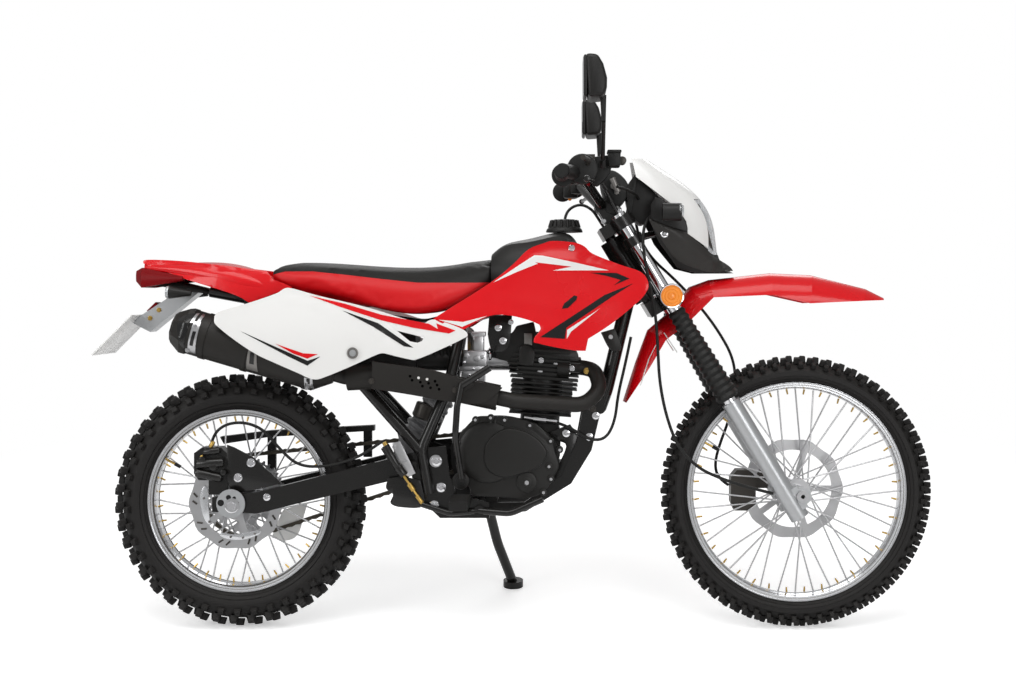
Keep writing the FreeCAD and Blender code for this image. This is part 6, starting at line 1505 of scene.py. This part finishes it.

# Rims' bright lips, and painted shade in their dark channels

for body, centre, lip, inner in (("rear_wheel", REAR_CENTRE, 230, 215.5),
                                 ("front_wheel", FRONT_CENTRE, 277, 263.5)):
    rim_skin = skin_of(body.replace("wheel", "rim"))
    hit = rim_skin.ray_cast(Vector((centre[0] * MM, -0.4, (centre[2] + lip - 2) * MM)), Vector((0, 1, 0)))[0]
    out = abs(hit.y) / MM if hit else 28
    bright = [(lip - 2.2, out - 1), (lip - 1.6, out + 1.6), (lip + 0.6, out + 1.8), (lip + 1.0, out - 1)]
    # The dark channel ring is painted shade
    dark = [(inner, out - 6), (inner + 3, out - 1.2), (lip - 5.5, out + 0.5), (lip - 4, out - 4)]
    parts = []
    for side in (-1, 1):
        facing = Matrix.Rotation(side * math.pi / 2, 4, "X")
        parts.append((placed(turned(bright, steps=96, closed=True), facing), 0))
        parts.append((placed(turned(dark, steps=96), facing), 1))
    piece(body.replace("wheel", "rim_lips_and_shade"), parts, [CHROME, GREY_METAL], body,
          Matrix.Translation(Vector(centre) * MM))

# Instruments and cable clutter between the bars and the lamp

BAR_BRACKET = [(591, 157, 1), (608, 155, 1), (611, 169), (604, 180), (597, 186, 1), (589, 179)]
DIAL_BACK = [(601, 176), (612, 170), (624, 178), (629, 190), (622, 204), (611, 205), (603, 194)]
DIAL_STAY = [(603, 200, 1), (612, 197, 1), (622, 209, 1), (617, 216, 1), (606, 212, 1)]
CLUTTER_Y = -70

parts = [(flat(BAR_BRACKET, -205, 4, 3, back=40), 0), (flat(DIAL_BACK, -55, 4, 5, back=110), 0),
         (flat(DIAL_STAY, -52, 3, 3, back=100), 1)]
for start, end, radius, paint in (((603, 186), (618, 214), 5, 1), ((612, 178), (618, 192), 8, 2),
                                  ((598, 178), (607, 190), 6, 1)):
    parts.append((stroke(start, end, CLUTTER_Y, radius, 2, 18), paint))
piece("bar_clutter", parts, [SOFT_RUBBER, FRAME_PAINT, GREY_METAL], "fork")

# Fins, rocker cover and small fittings of the engine

HEAD_EDGE = [(495, 349, 1), (498, 338), (511, 333), (516, 326, 1), (533, 322, 1), (541, 344), (566, 348),
             (577, 352), (579, 364, 1), (512, 366, 1), (506, 361), (497, 358)]
ROCKER_EDGE = [(520, 347), (529, 345), (535, 352), (533, 366, 1), (519, 365, 1)]
GUSSET_EDGE = [(600.6, 332.4, 1), (614.7, 328.2, 1), (621, 346.5), (617, 351), (609, 348.5)]
FIN_LEFTS = (514, 511, 508, 508, 509, 510, 511, 512)
FIN_RIGHT, FIN_TOP, FIN_STEP, FIN_FALL = 581, 353, 4.4, 5.5
CABLE_Y, GUSSET_Y = -118, -32

fin_y = min(seen(540, 372).y, seen(530, 380).y)
head_wide = -2 * fin_y
parts = [(flat(HEAD_EDGE, fin_y + 8, 4, 3, back=head_wide - 16), 0), (flat(ROCKER_EDGE, fin_y - 2, 6, 3), 0),
         (flat(sharp((524, 333), (532, 333), (532, 345), (524, 344)), fin_y + 4, 5, 1, back=20), 1)]
for i, left in enumerate(FIN_LEFTS):
    v, right = FIN_TOP + FIN_STEP * i, FIN_RIGHT - i * 0.6
    fin = sharp((left, v), (right, v + FIN_FALL), (right, v + FIN_FALL + 1.6), (left, v + 1.7))
    parts.append((flat(fin, fin_y + 1, 5, 0.4, curved=False, back=head_wide), 0))
for spot in ((513, 352), (541, 360), (556, 364), (572, 368), (540, 371.5)):
    parts.append((stud(*spot, 5, 4, lift=6), 2))
parts.append((stud(510.8, 322, 5, 6), 2))
parts.append((stud(586.6, 370.8, 6, 6), 3))
clip_edge = sharp((454.6, 343), (459.6, 341.5), (460.4, 358), (455.4, 359.5))
parts.append((flat(clip_edge, seen(462, 352).y - 2, 4, 1, back=30), 3))
for start, end, radius in (((524, 416.6), (533, 418), 3.4), ((533, 418), (546, 419.6), 5.2),
                           ((546, 419.6), (557, 421), 3.0)):
    parts.append((stroke(start, end, CABLE_Y, radius, sides=16), 4))
parts.append((flat(GUSSET_EDGE, GUSSET_Y, 4, 1.5, back=4), 0))
x, z = from_photo(605.8, 333.6, GUSSET_Y - 5)
parts.append((rod((x + 12, GUSSET_Y - 5, z - 8), (x + 12, GUSSET_Y - 6, z - 8), 5.5, sides=20), 4))
piece("engine_detail", parts, [ENGINE_PAINT, GREY_METAL, CHROME, BRASS, STEEL], "chassis")
